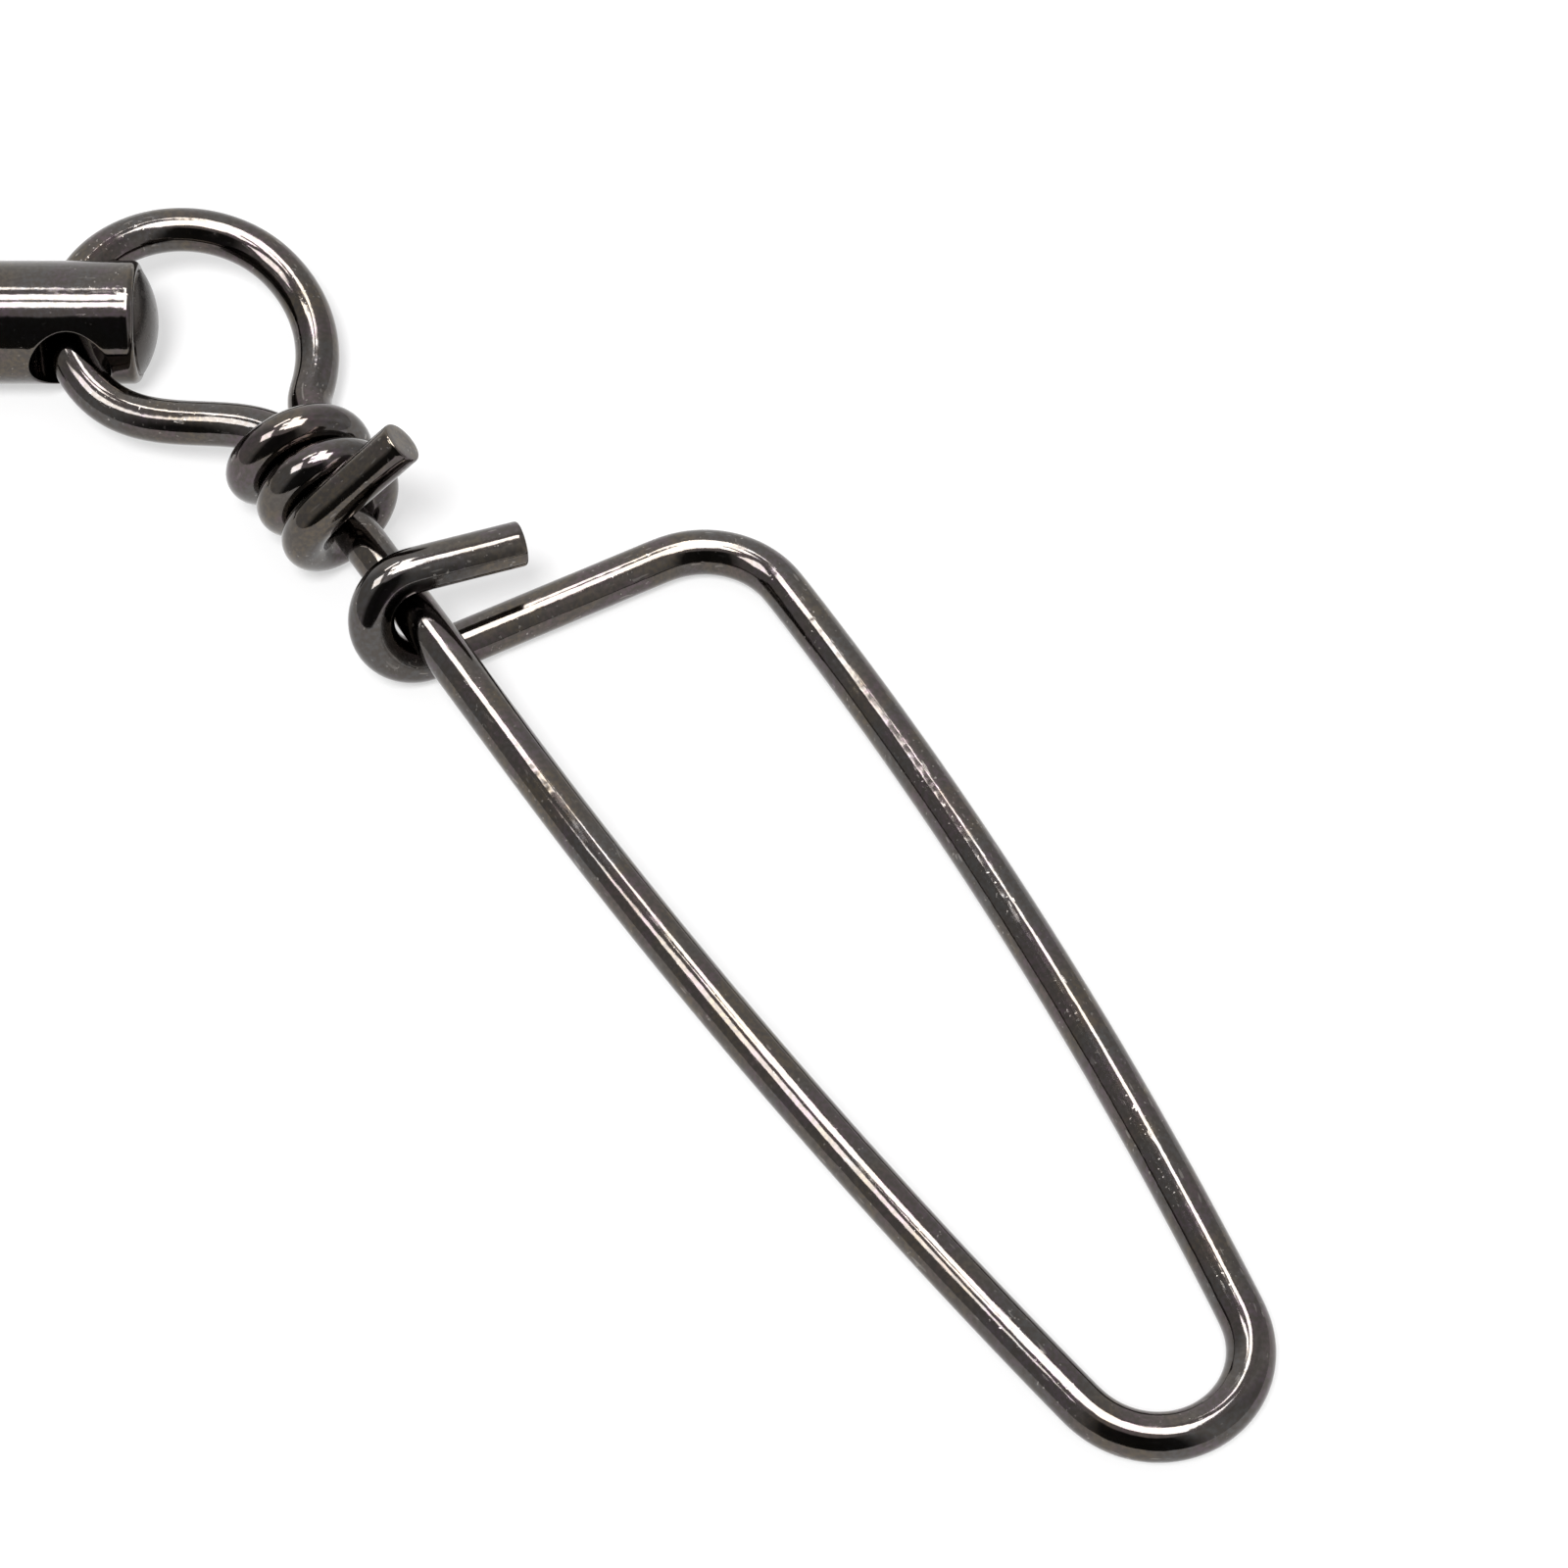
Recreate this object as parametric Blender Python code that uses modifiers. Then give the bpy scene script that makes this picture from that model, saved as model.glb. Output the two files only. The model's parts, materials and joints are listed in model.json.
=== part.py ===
"""Fishing snap with a ball bearing barrel swivel, lying as it comes to rest.

The snap is one bent wire. Its eye passes through the cross drilled, domed end
of the swivel's barrel. A stem turns in the barrel on a ring of balls, and its
knob carries the ring that the line is tied to.

+X runs along the snap's shank from the eye to the bottom bend, +Y points from
the shank to the other leg, and +Z is up. The shank lies on the plane Y = 0
while the model is made, and the finished model is centred over the origin.
"""

import math

import bpy
import numpy as np
from mathutils import Vector

MM = 0.001

# Snap wire
WIRE = 1.8 * MM
WRAP_GAP = 0.12 * MM
TURN_GAP = 0.2 * MM

# Snap eye, seen from above, with its angles turning from +X to +Y
EYE_RADIUS = 4.85 * MM
EYE_OFFSET = 0.44 * MM
EYE_WIDE_RADIUS = 6.35 * MM
EYE_WIDE_START_ANGLE = 43.0
EYE_WIDE_END_ANGLE = 103.0
EYE_ROUND_END_ANGLE = 282.0
EYE_SLOPE = 0.16
EYE_SLOPE_ANGLE = 205.0
EYE_LIFT = 0.25 * MM
EYE_LEAD_PULL = 1.1
SHANK_LEAD_PULL = 1.14

# Wrapped coil, with its angles turning about the shank from +Y down and round
COIL_DISTANCE = 8.33 * MM
COIL_START_ANGLE = 62.0
COIL_END_ANGLE = 950.0
COIL_BULGE = 0.27 * MM
COIL_BULGE_END_ANGLE = 300.0
COIL_TO_SHANK = 0.35 * MM
TAG_LENGTH = 4.7 * MM

# Shank, bottom bend and second leg
SHANK_STRAIGHT = 25.5 * MM
SHANK_BOW_RADIUS = 196.0 * MM
SHANK_LENGTH = 58.95 * MM
BEND_RADIUS = 3.53 * MM
BEND_EASING = 5.0 * MM
LEG_START_ANGLE = 169.0
LEG_END_ANGLE = 179.6
LEG_END = 23.33 * MM
CORNER_RADIUS = 3.7 * MM
ARM_ANGLE = 264.5

# Hook that passes under the shank, round it and back over it
HOOK_SHIFT = 1.5 * MM
HOOK_TIP_ANGLE = 78.0
HOOK_TIP_FALL_ANGLE = 5.0
HOOK_TIP_LENGTH = 4.6 * MM

# Swivel barrel, with places measured from the dome's tip
BARREL_ANGLE = 237.0
BARREL_DIAMETER = 5.0 * MM
BARREL_LENGTH = 10.6 * MM
SHOULDER_LENGTH = 1.0 * MM
SHOULDER_RADIUS = 0.3 * MM
SEAM_WIDTH = 0.1 * MM
SEAM_DEPTH = 0.06 * MM
TIP_TO_HOLE = 3.36 * MM
EYE_SLACK = 0.79 * MM
BORE_DIAMETER = 3.5 * MM

# Bushing, washer and balls in the bore
BUSHING_LENGTH = 1.6 * MM
BUSHING_FIT = 0.03 * MM
STEM_PLAY = 0.12 * MM
WASHER_THICKNESS = 0.3 * MM
WASHER_PLAY = 0.1 * MM
BALL_DIAMETER = 0.8 * MM
BALL_COUNT = 9
BALL_PLAY = 0.05 * MM

# Stem, with its knob
STEM_DIAMETER = 1.5 * MM
HEAD_THICKNESS = 1.2 * MM
HEAD_PLAY = 0.15 * MM
HEAD_END_GAP = 0.55 * MM
KNOB_GAP = 0.35 * MM
KNOB_DIAMETER = 3.4 * MM
KNOB_LENGTH = 4.2 * MM
KNOB_ROUNDING = 0.8 * MM
RING_SLACK = 0.34 * MM

# Line ring
RING_WIRE = 1.4 * MM
RING_DIAMETER = 9.8 * MM

# Values that follow from the sizes
WRAP_RADIUS = WIRE + WRAP_GAP
SHANK_HEIGHT = WIRE / 2 + WRAP_RADIUS
COIL_PITCH = WIRE + TURN_GAP
BARREL_RADIUS = BARREL_DIAMETER / 2
EYE_EXIT = math.sqrt(EYE_RADIUS ** 2 - BARREL_RADIUS ** 2)
EYE_SAG = EYE_RADIUS - EYE_EXIT
CROSS_HOLE_DIAMETER = WIRE + EYE_SAG + EYE_SLACK
BARREL_TIP = (EYE_RADIUS + EYE_EXIT) / 2 - TIP_TO_HOLE
BUSHING_START = BARREL_LENGTH - BUSHING_LENGTH
WASHER_END = BUSHING_START - BALL_PLAY
WASHER_START = WASHER_END - WASHER_THICKNESS
BALL_PLACE = WASHER_START - BALL_PLAY - BALL_DIAMETER / 2
HEAD_END = BALL_PLACE - BALL_DIAMETER / 2 - BALL_PLAY
HEAD_START = HEAD_END - HEAD_THICKNESS
BORE_BOTTOM = HEAD_START - HEAD_END_GAP
BALL_CIRCLE_RADIUS = (BORE_DIAMETER + STEM_DIAMETER) / 4
KNOB_START = BARREL_LENGTH + KNOB_GAP
RING_RADIUS = (RING_DIAMETER - RING_WIRE) / 2
RING_EXIT = math.sqrt(RING_RADIUS ** 2 - (KNOB_DIAMETER / 2) ** 2)
RING_SAG = RING_RADIUS - RING_EXIT
RING_HOLE_DIAMETER = RING_WIRE + RING_SAG + RING_SLACK
RING_PIVOT = KNOB_START + KNOB_LENGTH / 2
RING_CENTRE = RING_RADIUS - RING_SAG / 2
RING_DROOP = math.asin((BARREL_RADIUS - RING_WIRE / 2) / (RING_CENTRE + RING_RADIUS))

# Fineness of the meshes
COIL_STEP_ANGLE = 20.0
BEND_STEP_ANGLE = 10.0
BOW_STEP_ANGLE = 1.0
LEAD_POINTS = 9
TURNED_STEPS = 40
PROFILE_STEP_ANGLE = 15.0
BALL_SEGMENTS = 12
BALL_RINGS = 8
RING_SEGMENTS = 40
RING_SIDES = 10
SCREW_MERGE = 0.000001


def clear_scene():
    """Remove every object that the file already holds."""
    for thing in list(bpy.data.objects):
        bpy.data.objects.remove(thing, do_unlink=True)


def make_collection(name):
    """Return a new collection in the scene."""
    collection = bpy.data.collections.new(name)
    bpy.context.scene.collection.children.link(collection)
    return collection


def make_material(name, colour, roughness):
    """Return a metal with the given colour and roughness."""
    material = bpy.data.materials.new(name)
    material.use_nodes = True
    shader = material.node_tree.nodes["Principled BSDF"]
    shader.inputs["Base Color"].default_value = (*colour, 1.0)
    shader.inputs["Metallic"].default_value = 1.0
    shader.inputs["Roughness"].default_value = roughness
    material.diffuse_color = (*colour, 1.0)
    return material


def add_object(name, data, collection, parent=None, material=None):
    """Link an object that holds the data, under its parent."""
    thing = bpy.data.objects.new(name, data)
    collection.objects.link(thing)
    thing.parent = parent
    if material is not None and not data.materials:
        data.materials.append(material)
    return thing


def sweep(start, end, step):
    """Return angles in radians from start to end, at most a step apart, in degrees."""
    count = max(1, math.ceil(abs(end - start) / step))
    return np.radians(np.linspace(start, end, count + 1))


def unit(vector):
    """Return the vector at a length of one."""
    return vector / np.linalg.norm(vector)


def lead(start, leaving, end, arriving, pull):
    """Return the points inside a smooth lead between two ends of the wire."""
    t = np.linspace(0.0, 1.0, LEAD_POINTS + 2)[1:-1, None]
    reach = np.linalg.norm(end - start) * pull
    return (
        (2 * t ** 3 - 3 * t ** 2 + 1) * start
        + (t ** 3 - 2 * t ** 2 + t) * reach * leaving
        + (3 * t ** 2 - 2 * t ** 3) * end
        + (t ** 3 - t ** 2) * reach * arriving
    )


def wrap_points(places, angles):
    """Return points round the shank, at the places along it and the angles about it."""
    return np.stack(
        [places, WRAP_RADIUS * np.cos(angles), SHANK_HEIGHT - WRAP_RADIUS * np.sin(angles)], axis=1
    )


def coil_direction(angle):
    """Return the direction in which the coil climbs at an angle about the shank."""
    rise = COIL_PITCH / (2 * math.pi)
    return unit(np.array([rise, -WRAP_RADIUS * math.sin(angle), -WRAP_RADIUS * math.cos(angle)]))


def coil_points():
    """Return the tag end and the coil's turns, from the tag to the eye.

    The turn next to the eye bulges out on the side away from the second leg.
    """
    angles = sweep(COIL_END_ANGLE, COIL_START_ANGLE, COIL_STEP_ANGLE)
    places = COIL_DISTANCE + COIL_PITCH * (angles - math.pi) / (2 * math.pi)
    turns = wrap_points(places, angles)
    bulge_share = (angles - angles[-1]) / (math.radians(COIL_BULGE_END_ANGLE) - angles[-1])
    turns[:, 1] -= COIL_BULGE * np.sin(math.pi * np.minimum(bulge_share, 1.0)) ** 2
    tag = turns[0] + coil_direction(angles[0]) * TAG_LENGTH
    return np.vstack([tag, turns])


def eye_plane():
    """Return the eye's slopes along X and Y, and its height at the round end's centre."""
    towards = math.radians(EYE_SLOPE_ANGLE)
    slope = np.array([EYE_SLOPE * math.cos(towards), EYE_SLOPE * math.sin(towards)])
    barrel = math.radians(BARREL_ANGLE)
    at_barrel = EYE_RADIUS * (slope[0] * math.cos(barrel) + slope[1] * math.sin(barrel))
    return slope, BARREL_RADIUS + EYE_LIFT - at_barrel


def eye_direction(angle, slope):
    """Return the eye's direction at an angle, along its sloping plane."""
    across = np.array([-math.sin(angle), math.cos(angle)])
    return unit(np.array([across[0], across[1], slope @ across]))


def eye_points():
    """Return the eye's wide arc and round end, and its directions at both ends."""
    slope, height = eye_plane()
    wide = sweep(EYE_WIDE_START_ANGLE, EYE_WIDE_END_ANGLE, BEND_STEP_ANGLE)
    round_end = sweep(EYE_WIDE_END_ANGLE, EYE_ROUND_END_ANGLE, BEND_STEP_ANGLE)[1:]
    join = wide[-1]
    inward = EYE_RADIUS - EYE_WIDE_RADIUS
    wide_x = inward * math.cos(join) + EYE_WIDE_RADIUS * np.cos(wide)
    wide_y = inward * math.sin(join) + EYE_WIDE_RADIUS * np.sin(wide)
    x = np.concatenate([wide_x, EYE_RADIUS * np.cos(round_end)])
    y = np.concatenate([wide_y, EYE_RADIUS * np.sin(round_end)])
    z = height + slope[0] * x + slope[1] * y
    points = np.stack([x, y - EYE_OFFSET, z], axis=1)
    return points, eye_direction(wide[0], slope), eye_direction(round_end[-1], slope)


def turn(start, radius, from_heading, to_heading, step):
    """Return the points of a flat bend to the left, after its start."""
    headings = sweep(from_heading, to_heading, step)
    first = headings[0]
    x = start[0] + radius * (np.sin(headings) - math.sin(first))
    y = start[1] - radius * (np.cos(headings) - math.cos(first))
    return np.stack([x, y], axis=1)[1:]


def shank_drop(distance, bow_length):
    """Return how far the wire has come down from the coil's height.

    It bends down along the bow, and levels off in the first part of the bottom bend.
    """
    full_drop = SHANK_HEIGHT - WIRE / 2
    bow_drop = full_drop / (1 + BEND_EASING / bow_length)
    on_bow = np.clip(distance / bow_length, 0.0, 1.0)
    in_bend = np.clip((distance - bow_length) / BEND_EASING, 0.0, 1.0)
    return bow_drop * on_bow ** 2 + (full_drop - bow_drop) * (2 * in_bend - in_bend ** 2)


def leg_points():
    """Return the shank's bow, the bottom bend, the second leg and the corner."""
    bow_end = math.degrees(math.asin((SHANK_LENGTH - SHANK_STRAIGHT) / SHANK_BOW_RADIUS))
    straight_end = np.array([SHANK_STRAIGHT, 0.0])
    bow = turn(straight_end, SHANK_BOW_RADIUS, 0.0, bow_end, BOW_STEP_ANGLE)
    bend = turn(bow[-1], BEND_RADIUS, bow_end, LEG_START_ANGLE, BEND_STEP_ANGLE)
    start_sine = math.sin(math.radians(LEG_START_ANGLE))
    end_sine = math.sin(math.radians(LEG_END_ANGLE))
    leg_radius = (bend[-1][0] - LEG_END) / (start_sine - end_sine)
    leg = turn(bend[-1], leg_radius, LEG_START_ANGLE, LEG_END_ANGLE, BOW_STEP_ANGLE)
    corner = turn(leg[-1], CORNER_RADIUS, LEG_END_ANGLE, ARM_ANGLE, BEND_STEP_ANGLE)
    flat = np.vstack([straight_end, bow, bend, leg, corner])
    steps = np.linalg.norm(np.diff(flat, axis=0), axis=1)
    distance = np.concatenate([[0.0], np.cumsum(steps)])
    drop = shank_drop(distance, distance[len(bow)])
    return np.column_stack([flat, SHANK_HEIGHT - drop])


def hook_points(arm_start):
    """Return the hook from under the shank, round it and out to the tip."""
    arm = math.radians(ARM_ANGLE)
    under = arm_start[0] + arm_start[1] * math.cos(arm) / -math.sin(arm)
    tip = math.radians(HOOK_TIP_ANGLE)
    angles = sweep(90.0, 270.0 + HOOK_TIP_FALL_ANGLE, 1.5 * BEND_STEP_ANGLE)
    length = WRAP_RADIUS * (angles[-1] - angles[0])
    t = (angles - angles[0]) / (angles[-1] - angles[0])
    leaving = length * math.cos(arm) / -math.sin(arm)
    arriving = length * math.cos(tip) / math.sin(tip)
    places = (
        (2 * t ** 3 - 3 * t ** 2 + 1) * under
        + (t ** 3 - 2 * t ** 2 + t) * leaving
        + (3 * t ** 2 - 2 * t ** 3) * (under - HOOK_SHIFT)
        + (t ** 3 - t ** 2) * arriving
    )
    wrap = wrap_points(places, angles)
    fall = math.radians(HOOK_TIP_FALL_ANGLE)
    ahead = np.array([math.cos(tip), math.sin(tip) * math.cos(fall), -math.sin(tip) * math.sin(fall)])
    return np.vstack([wrap, wrap[-1] + unit(ahead) * HOOK_TIP_LENGTH])


def wire_points():
    """Return the whole wire's centre line, from the tag end to the hook's tip."""
    coil = coil_points()
    eye, eye_leaving, eye_arriving = eye_points()
    coil_in = -coil_direction(math.radians(COIL_START_ANGLE))
    eye_lead = lead(coil[-1], coil_in, eye[0], eye_leaving, EYE_LEAD_PULL)
    shank_start = np.array([COIL_DISTANCE + COIL_TO_SHANK, 0.0, SHANK_HEIGHT])
    along = np.array([1.0, 0.0, 0.0])
    shank_lead = lead(eye[-1], eye_arriving, shank_start, along, SHANK_LEAD_PULL)
    legs = leg_points()
    hook = hook_points(legs[-1])
    return np.vstack([coil, eye_lead, eye, shank_lead, shank_start, legs, hook])


def build_snap(collection, material):
    """Build the snap as one round wire along its centre line."""
    curve = bpy.data.curves.new("snap_wire", "CURVE")
    curve.dimensions = "3D"
    curve.bevel_depth = WIRE / 2
    curve.bevel_resolution = 2
    curve.use_fill_caps = True
    points = wire_points()
    spline = curve.splines.new("POLY")
    spline.points.add(len(points) - 1)
    spline.points.foreach_set("co", np.column_stack([points, np.ones(len(points))]).ravel())
    return add_object("snap_wire", curve, collection, None, material)


def turned_object(name, profile, closed, collection, parent, material):
    """Build a turned piece on the barrel's axis.

    Its profile holds places from the dome's tip and radii. It runs along the
    outer side away from the tip, and back along the bore where there is one.
    """
    mesh = bpy.data.meshes.new(name)
    points = [(radius, 0.0, -place) for place, radius in profile]
    edges = [(i, i + 1) for i in range(len(points) - 1)]
    if closed:
        edges.append((len(points) - 1, 0))
    mesh.from_pydata(points, edges, [])
    thing = add_object(name, mesh, collection, parent, material)
    thing.location = (BARREL_TIP, 0.0, 0.0)
    thing.rotation_euler = (0.0, -math.pi / 2, 0.0)
    screw = thing.modifiers.new("Turn", "SCREW")
    screw.axis = "Z"
    screw.steps = TURNED_STEPS
    screw.render_steps = TURNED_STEPS
    screw.use_merge_vertices = True
    screw.merge_threshold = SCREW_MERGE
    screw.use_smooth_shade = True
    return thing


def rounding(place, radius, size, start, end):
    """Return the points of a rounded edge about its centre, from start to end degrees."""
    angles = sweep(start, end, PROFILE_STEP_ANGLE)
    return [(place - size * math.cos(a), radius + size * math.sin(a)) for a in angles]


def cross_hole(name, target, diameter, length, place, cutters, parent):
    """Drill a hole across the barrel's axis at a place from the dome's tip."""
    bpy.ops.mesh.primitive_cylinder_add(vertices=TURNED_STEPS, radius=diameter / 2, depth=length)
    cutter = bpy.context.object
    cutter.name = name
    cutter.users_collection[0].objects.unlink(cutter)
    cutters.objects.link(cutter)
    cutter.parent = parent
    cutter.location = (BARREL_TIP + place, 0.0, 0.0)
    cutter.rotation_euler = (math.pi / 2, 0.0, 0.0)
    cutter.hide_render = True
    cutter.display_type = "WIRE"
    hole = target.modifiers.new("Cross hole", "BOOLEAN")
    hole.operation = "DIFFERENCE"
    hole.object = cutter


def build_barrel(collection, cutters, parent, material):
    """Build the barrel: domed tip, seam, shoulder, wall, bore and cross hole."""
    cap_radius = BARREL_RADIUS - SHOULDER_RADIUS
    cap_depth = SHOULDER_LENGTH - SHOULDER_RADIUS
    dome_radius = (cap_radius ** 2 + cap_depth ** 2) / (2 * cap_depth)
    dome_edge = math.degrees(math.asin(cap_radius / dome_radius))
    dome = rounding(dome_radius, 0.0, dome_radius, 0.0, dome_edge - 1.0)
    seam = (cap_depth + SEAM_DEPTH, cap_radius - SEAM_WIDTH / 2)
    shoulder = rounding(SHOULDER_LENGTH, cap_radius, SHOULDER_RADIUS, 0.0, 90.0)
    bore_radius = BORE_DIAMETER / 2
    inside = [
        (BARREL_LENGTH, BARREL_RADIUS),
        (BARREL_LENGTH, bore_radius),
        (BORE_BOTTOM, bore_radius),
        (BORE_BOTTOM, 0.0),
    ]
    profile = dome[:-1] + [(cap_depth, cap_radius - SEAM_WIDTH), seam] + shoulder + inside
    barrel = turned_object("swivel_barrel", profile, False, collection, parent, material)
    cross_hole(
        "eye_hole_cutter", barrel, CROSS_HOLE_DIAMETER, 1.5 * BARREL_DIAMETER, TIP_TO_HOLE, cutters, parent
    )
    return barrel


def build_bushing(collection, parent, material):
    """Build the bushing that closes the bore and carries the stem."""
    outer = BORE_DIAMETER / 2 - BUSHING_FIT
    inner = STEM_DIAMETER / 2 + STEM_PLAY
    profile = [
        (BUSHING_START, inner),
        (BUSHING_START, outer),
        (BARREL_LENGTH, outer),
        (BARREL_LENGTH, inner),
    ]
    return turned_object("end_bushing", profile, True, collection, parent, material)


def build_washer(collection, parent, material):
    """Build the hard washer between the balls and the bushing."""
    outer = BORE_DIAMETER / 2 - WASHER_PLAY
    inner = STEM_DIAMETER / 2 + STEM_PLAY
    profile = [(WASHER_START, inner), (WASHER_START, outer), (WASHER_END, outer), (WASHER_END, inner)]
    return turned_object("thrust_washer", profile, True, collection, parent, material)


def build_balls(collection, parent, material):
    """Build the ring of balls between the stem's head and the washer."""
    bpy.ops.mesh.primitive_uv_sphere_add(
        segments=BALL_SEGMENTS, ring_count=BALL_RINGS, radius=BALL_DIAMETER / 2
    )
    first = bpy.context.object
    mesh = first.data
    mesh.shade_smooth()
    bpy.data.objects.remove(first)
    for number in range(BALL_COUNT):
        angle = 2 * math.pi * number / BALL_COUNT
        ball = add_object(f"bearing_ball_{number + 1}", mesh, collection, parent, material)
        across = BALL_CIRCLE_RADIUS * math.cos(angle)
        up = BALL_CIRCLE_RADIUS * math.sin(angle)
        ball.location = (BARREL_TIP + BALL_PLACE, across, up)


def build_stem(collection, cutters, parent, material):
    """Build the stem: head in the bore, shaft through the bushing and knob outside."""
    head_radius = BORE_DIAMETER / 2 - HEAD_PLAY
    shaft_radius = STEM_DIAMETER / 2
    knob_radius = KNOB_DIAMETER / 2
    knob_end = KNOB_START + KNOB_LENGTH
    near = rounding(KNOB_START + KNOB_ROUNDING, knob_radius - KNOB_ROUNDING, KNOB_ROUNDING, 0.0, 90.0)
    far = rounding(knob_end - KNOB_ROUNDING, knob_radius - KNOB_ROUNDING, KNOB_ROUNDING, 90.0, 180.0)
    head = [
        (HEAD_START, 0.0),
        (HEAD_START, head_radius),
        (HEAD_END, head_radius),
        (HEAD_END, shaft_radius),
        (KNOB_START, shaft_radius),
    ]
    profile = head + near + far + [(knob_end, 0.0)]
    stem = turned_object("swivel_stem", profile, False, collection, parent, material)
    cross_hole(
        "ring_hole_cutter", stem, RING_HOLE_DIAMETER, 1.5 * KNOB_DIAMETER, RING_PIVOT, cutters, parent
    )
    return stem


def build_ring(collection, parent, material):
    """Build the line ring, hanging from its pivot in the knob's hole."""
    bpy.ops.mesh.primitive_torus_add(
        major_segments=RING_SEGMENTS,
        minor_segments=RING_SIDES,
        major_radius=RING_RADIUS,
        minor_radius=RING_WIRE / 2,
    )
    made = bpy.context.object
    mesh = made.data
    mesh.shade_smooth()
    bpy.data.objects.remove(made)
    ring = add_object("line_ring", mesh, collection, parent, material)
    ring.location = (RING_CENTRE, 0.0, 0.0)
    return ring


def add_empty(name, collection, location, rotation, parent=None):
    """Add an empty that carries the pieces of one moving group."""
    empty = add_object(name, None, collection, parent)
    empty.location = location
    empty.rotation_euler = rotation
    return empty


def centre_on_ground(collection, roots):
    """Move the model so that the middle of its box stands over the origin."""
    bpy.context.view_layer.update()
    graph = bpy.context.evaluated_depsgraph_get()
    corners = []
    for thing in collection.objects:
        if thing.type == "EMPTY":
            continue
        seen = thing.evaluated_get(graph)
        mesh = seen.to_mesh()
        places = [seen.matrix_world @ vertex.co for vertex in mesh.vertices]
        corners += [np.min(places, axis=0), np.max(places, axis=0)]
        seen.to_mesh_clear()
    low = np.min(corners, axis=0)
    high = np.max(corners, axis=0)
    shift = Vector(((low[0] + high[0]) / 2, (low[1] + high[1]) / 2, low[2]))
    for root in roots:
        root.location -= shift


def main():
    clear_scene()
    parts = make_collection("fishing_snap_swivel")
    cutters = make_collection("cutters")
    black_nickel = make_material("black_nickel", (0.1, 0.092, 0.09), 0.16)
    plated_brass = make_material("plated_brass", (0.13, 0.12, 0.115), 0.22)
    bearing_steel = make_material("bearing_steel", (0.55, 0.55, 0.56), 0.12)
    snap = build_snap(parts, black_nickel)
    swivel = add_empty(
        "swivel_axis", parts, (0.0, -EYE_OFFSET, BARREL_RADIUS), (0.0, 0.0, math.radians(BARREL_ANGLE))
    )
    build_barrel(parts, cutters, swivel, black_nickel)
    build_bushing(parts, swivel, plated_brass)
    build_washer(parts, swivel, bearing_steel)
    build_balls(parts, swivel, bearing_steel)
    build_stem(parts, cutters, swivel, plated_brass)
    pivot_place = (BARREL_TIP + RING_PIVOT, 0.0, 0.0)
    pivot = add_empty("ring_pivot", parts, pivot_place, (0.0, RING_DROOP, 0.0), swivel)
    build_ring(parts, pivot, black_nickel)
    centre_on_ground(parts, [snap, swivel])


main()
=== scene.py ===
"""Looks of a fishing snap with a ball bearing barrel swivel.

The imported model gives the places, and each piece here is worked out as a surface
round the same lines. Lengths are in metres, and +Z is up.
"""

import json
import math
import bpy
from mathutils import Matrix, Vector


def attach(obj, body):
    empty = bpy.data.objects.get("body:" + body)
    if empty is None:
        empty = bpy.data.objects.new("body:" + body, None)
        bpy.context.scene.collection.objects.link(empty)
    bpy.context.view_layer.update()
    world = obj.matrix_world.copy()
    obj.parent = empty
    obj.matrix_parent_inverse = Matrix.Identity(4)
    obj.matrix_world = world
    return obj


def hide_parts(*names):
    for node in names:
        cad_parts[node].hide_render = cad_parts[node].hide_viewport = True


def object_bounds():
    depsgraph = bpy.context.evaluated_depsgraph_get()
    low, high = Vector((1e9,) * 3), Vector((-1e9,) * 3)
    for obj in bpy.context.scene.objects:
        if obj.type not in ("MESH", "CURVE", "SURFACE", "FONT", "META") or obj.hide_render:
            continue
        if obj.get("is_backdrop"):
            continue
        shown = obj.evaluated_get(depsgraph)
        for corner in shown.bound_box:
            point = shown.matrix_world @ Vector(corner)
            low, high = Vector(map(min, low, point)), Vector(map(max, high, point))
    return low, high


bl_info = {
    "name": "Fishing Snap Swivel",
    "version": (1, 0, 0),
    "blender": (4, 5, 0),
    "location": "View3D > Sidebar > Snap Swivel",
    "description": "Builds a dark plated fishing snap, its barrel swivel and a pale stage",
    "category": "Object",
}

import bpy
import bmesh
import numpy as np
from bpy.props import FloatProperty, FloatVectorProperty, IntProperty, PointerProperty
from mathutils import Vector

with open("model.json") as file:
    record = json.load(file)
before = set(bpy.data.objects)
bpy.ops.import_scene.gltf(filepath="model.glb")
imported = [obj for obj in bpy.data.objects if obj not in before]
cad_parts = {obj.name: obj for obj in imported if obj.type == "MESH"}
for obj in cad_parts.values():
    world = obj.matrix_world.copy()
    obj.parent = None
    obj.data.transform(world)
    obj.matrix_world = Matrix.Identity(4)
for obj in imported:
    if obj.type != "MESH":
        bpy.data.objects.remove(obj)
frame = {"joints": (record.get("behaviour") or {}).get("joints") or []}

MM = 0.001
MM_PER_METRE = 1000.0
THIRD_AXIS = (0.0, 0.0, 1.0)
WHITE = (1.0, 1.0, 1.0, 1.0)

# Angles of the snap's wire in degrees, the eye's slope, and how strongly leads keep their direction
EYE_WIDE_START_ANGLE = 43.0
EYE_WIDE_END_ANGLE = 103.0
EYE_ROUND_END_ANGLE = 282.0
EYE_SLOPE = 0.16
EYE_SLOPE_ANGLE = 205.0
EYE_LEAD_PULL = 1.1
SHANK_LEAD_PULL = 1.14
COIL_START_ANGLE = 62.0
COIL_END_ANGLE = 950.0
COIL_BULGE_END_ANGLE = 300.0
LEG_START_ANGLE = 169.0
LEG_END_ANGLE = 179.6
ARM_ANGLE = 264.5
HOOK_TIP_ANGLE = 78.0
HOOK_TIP_FALL_ANGLE = 5.0

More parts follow.
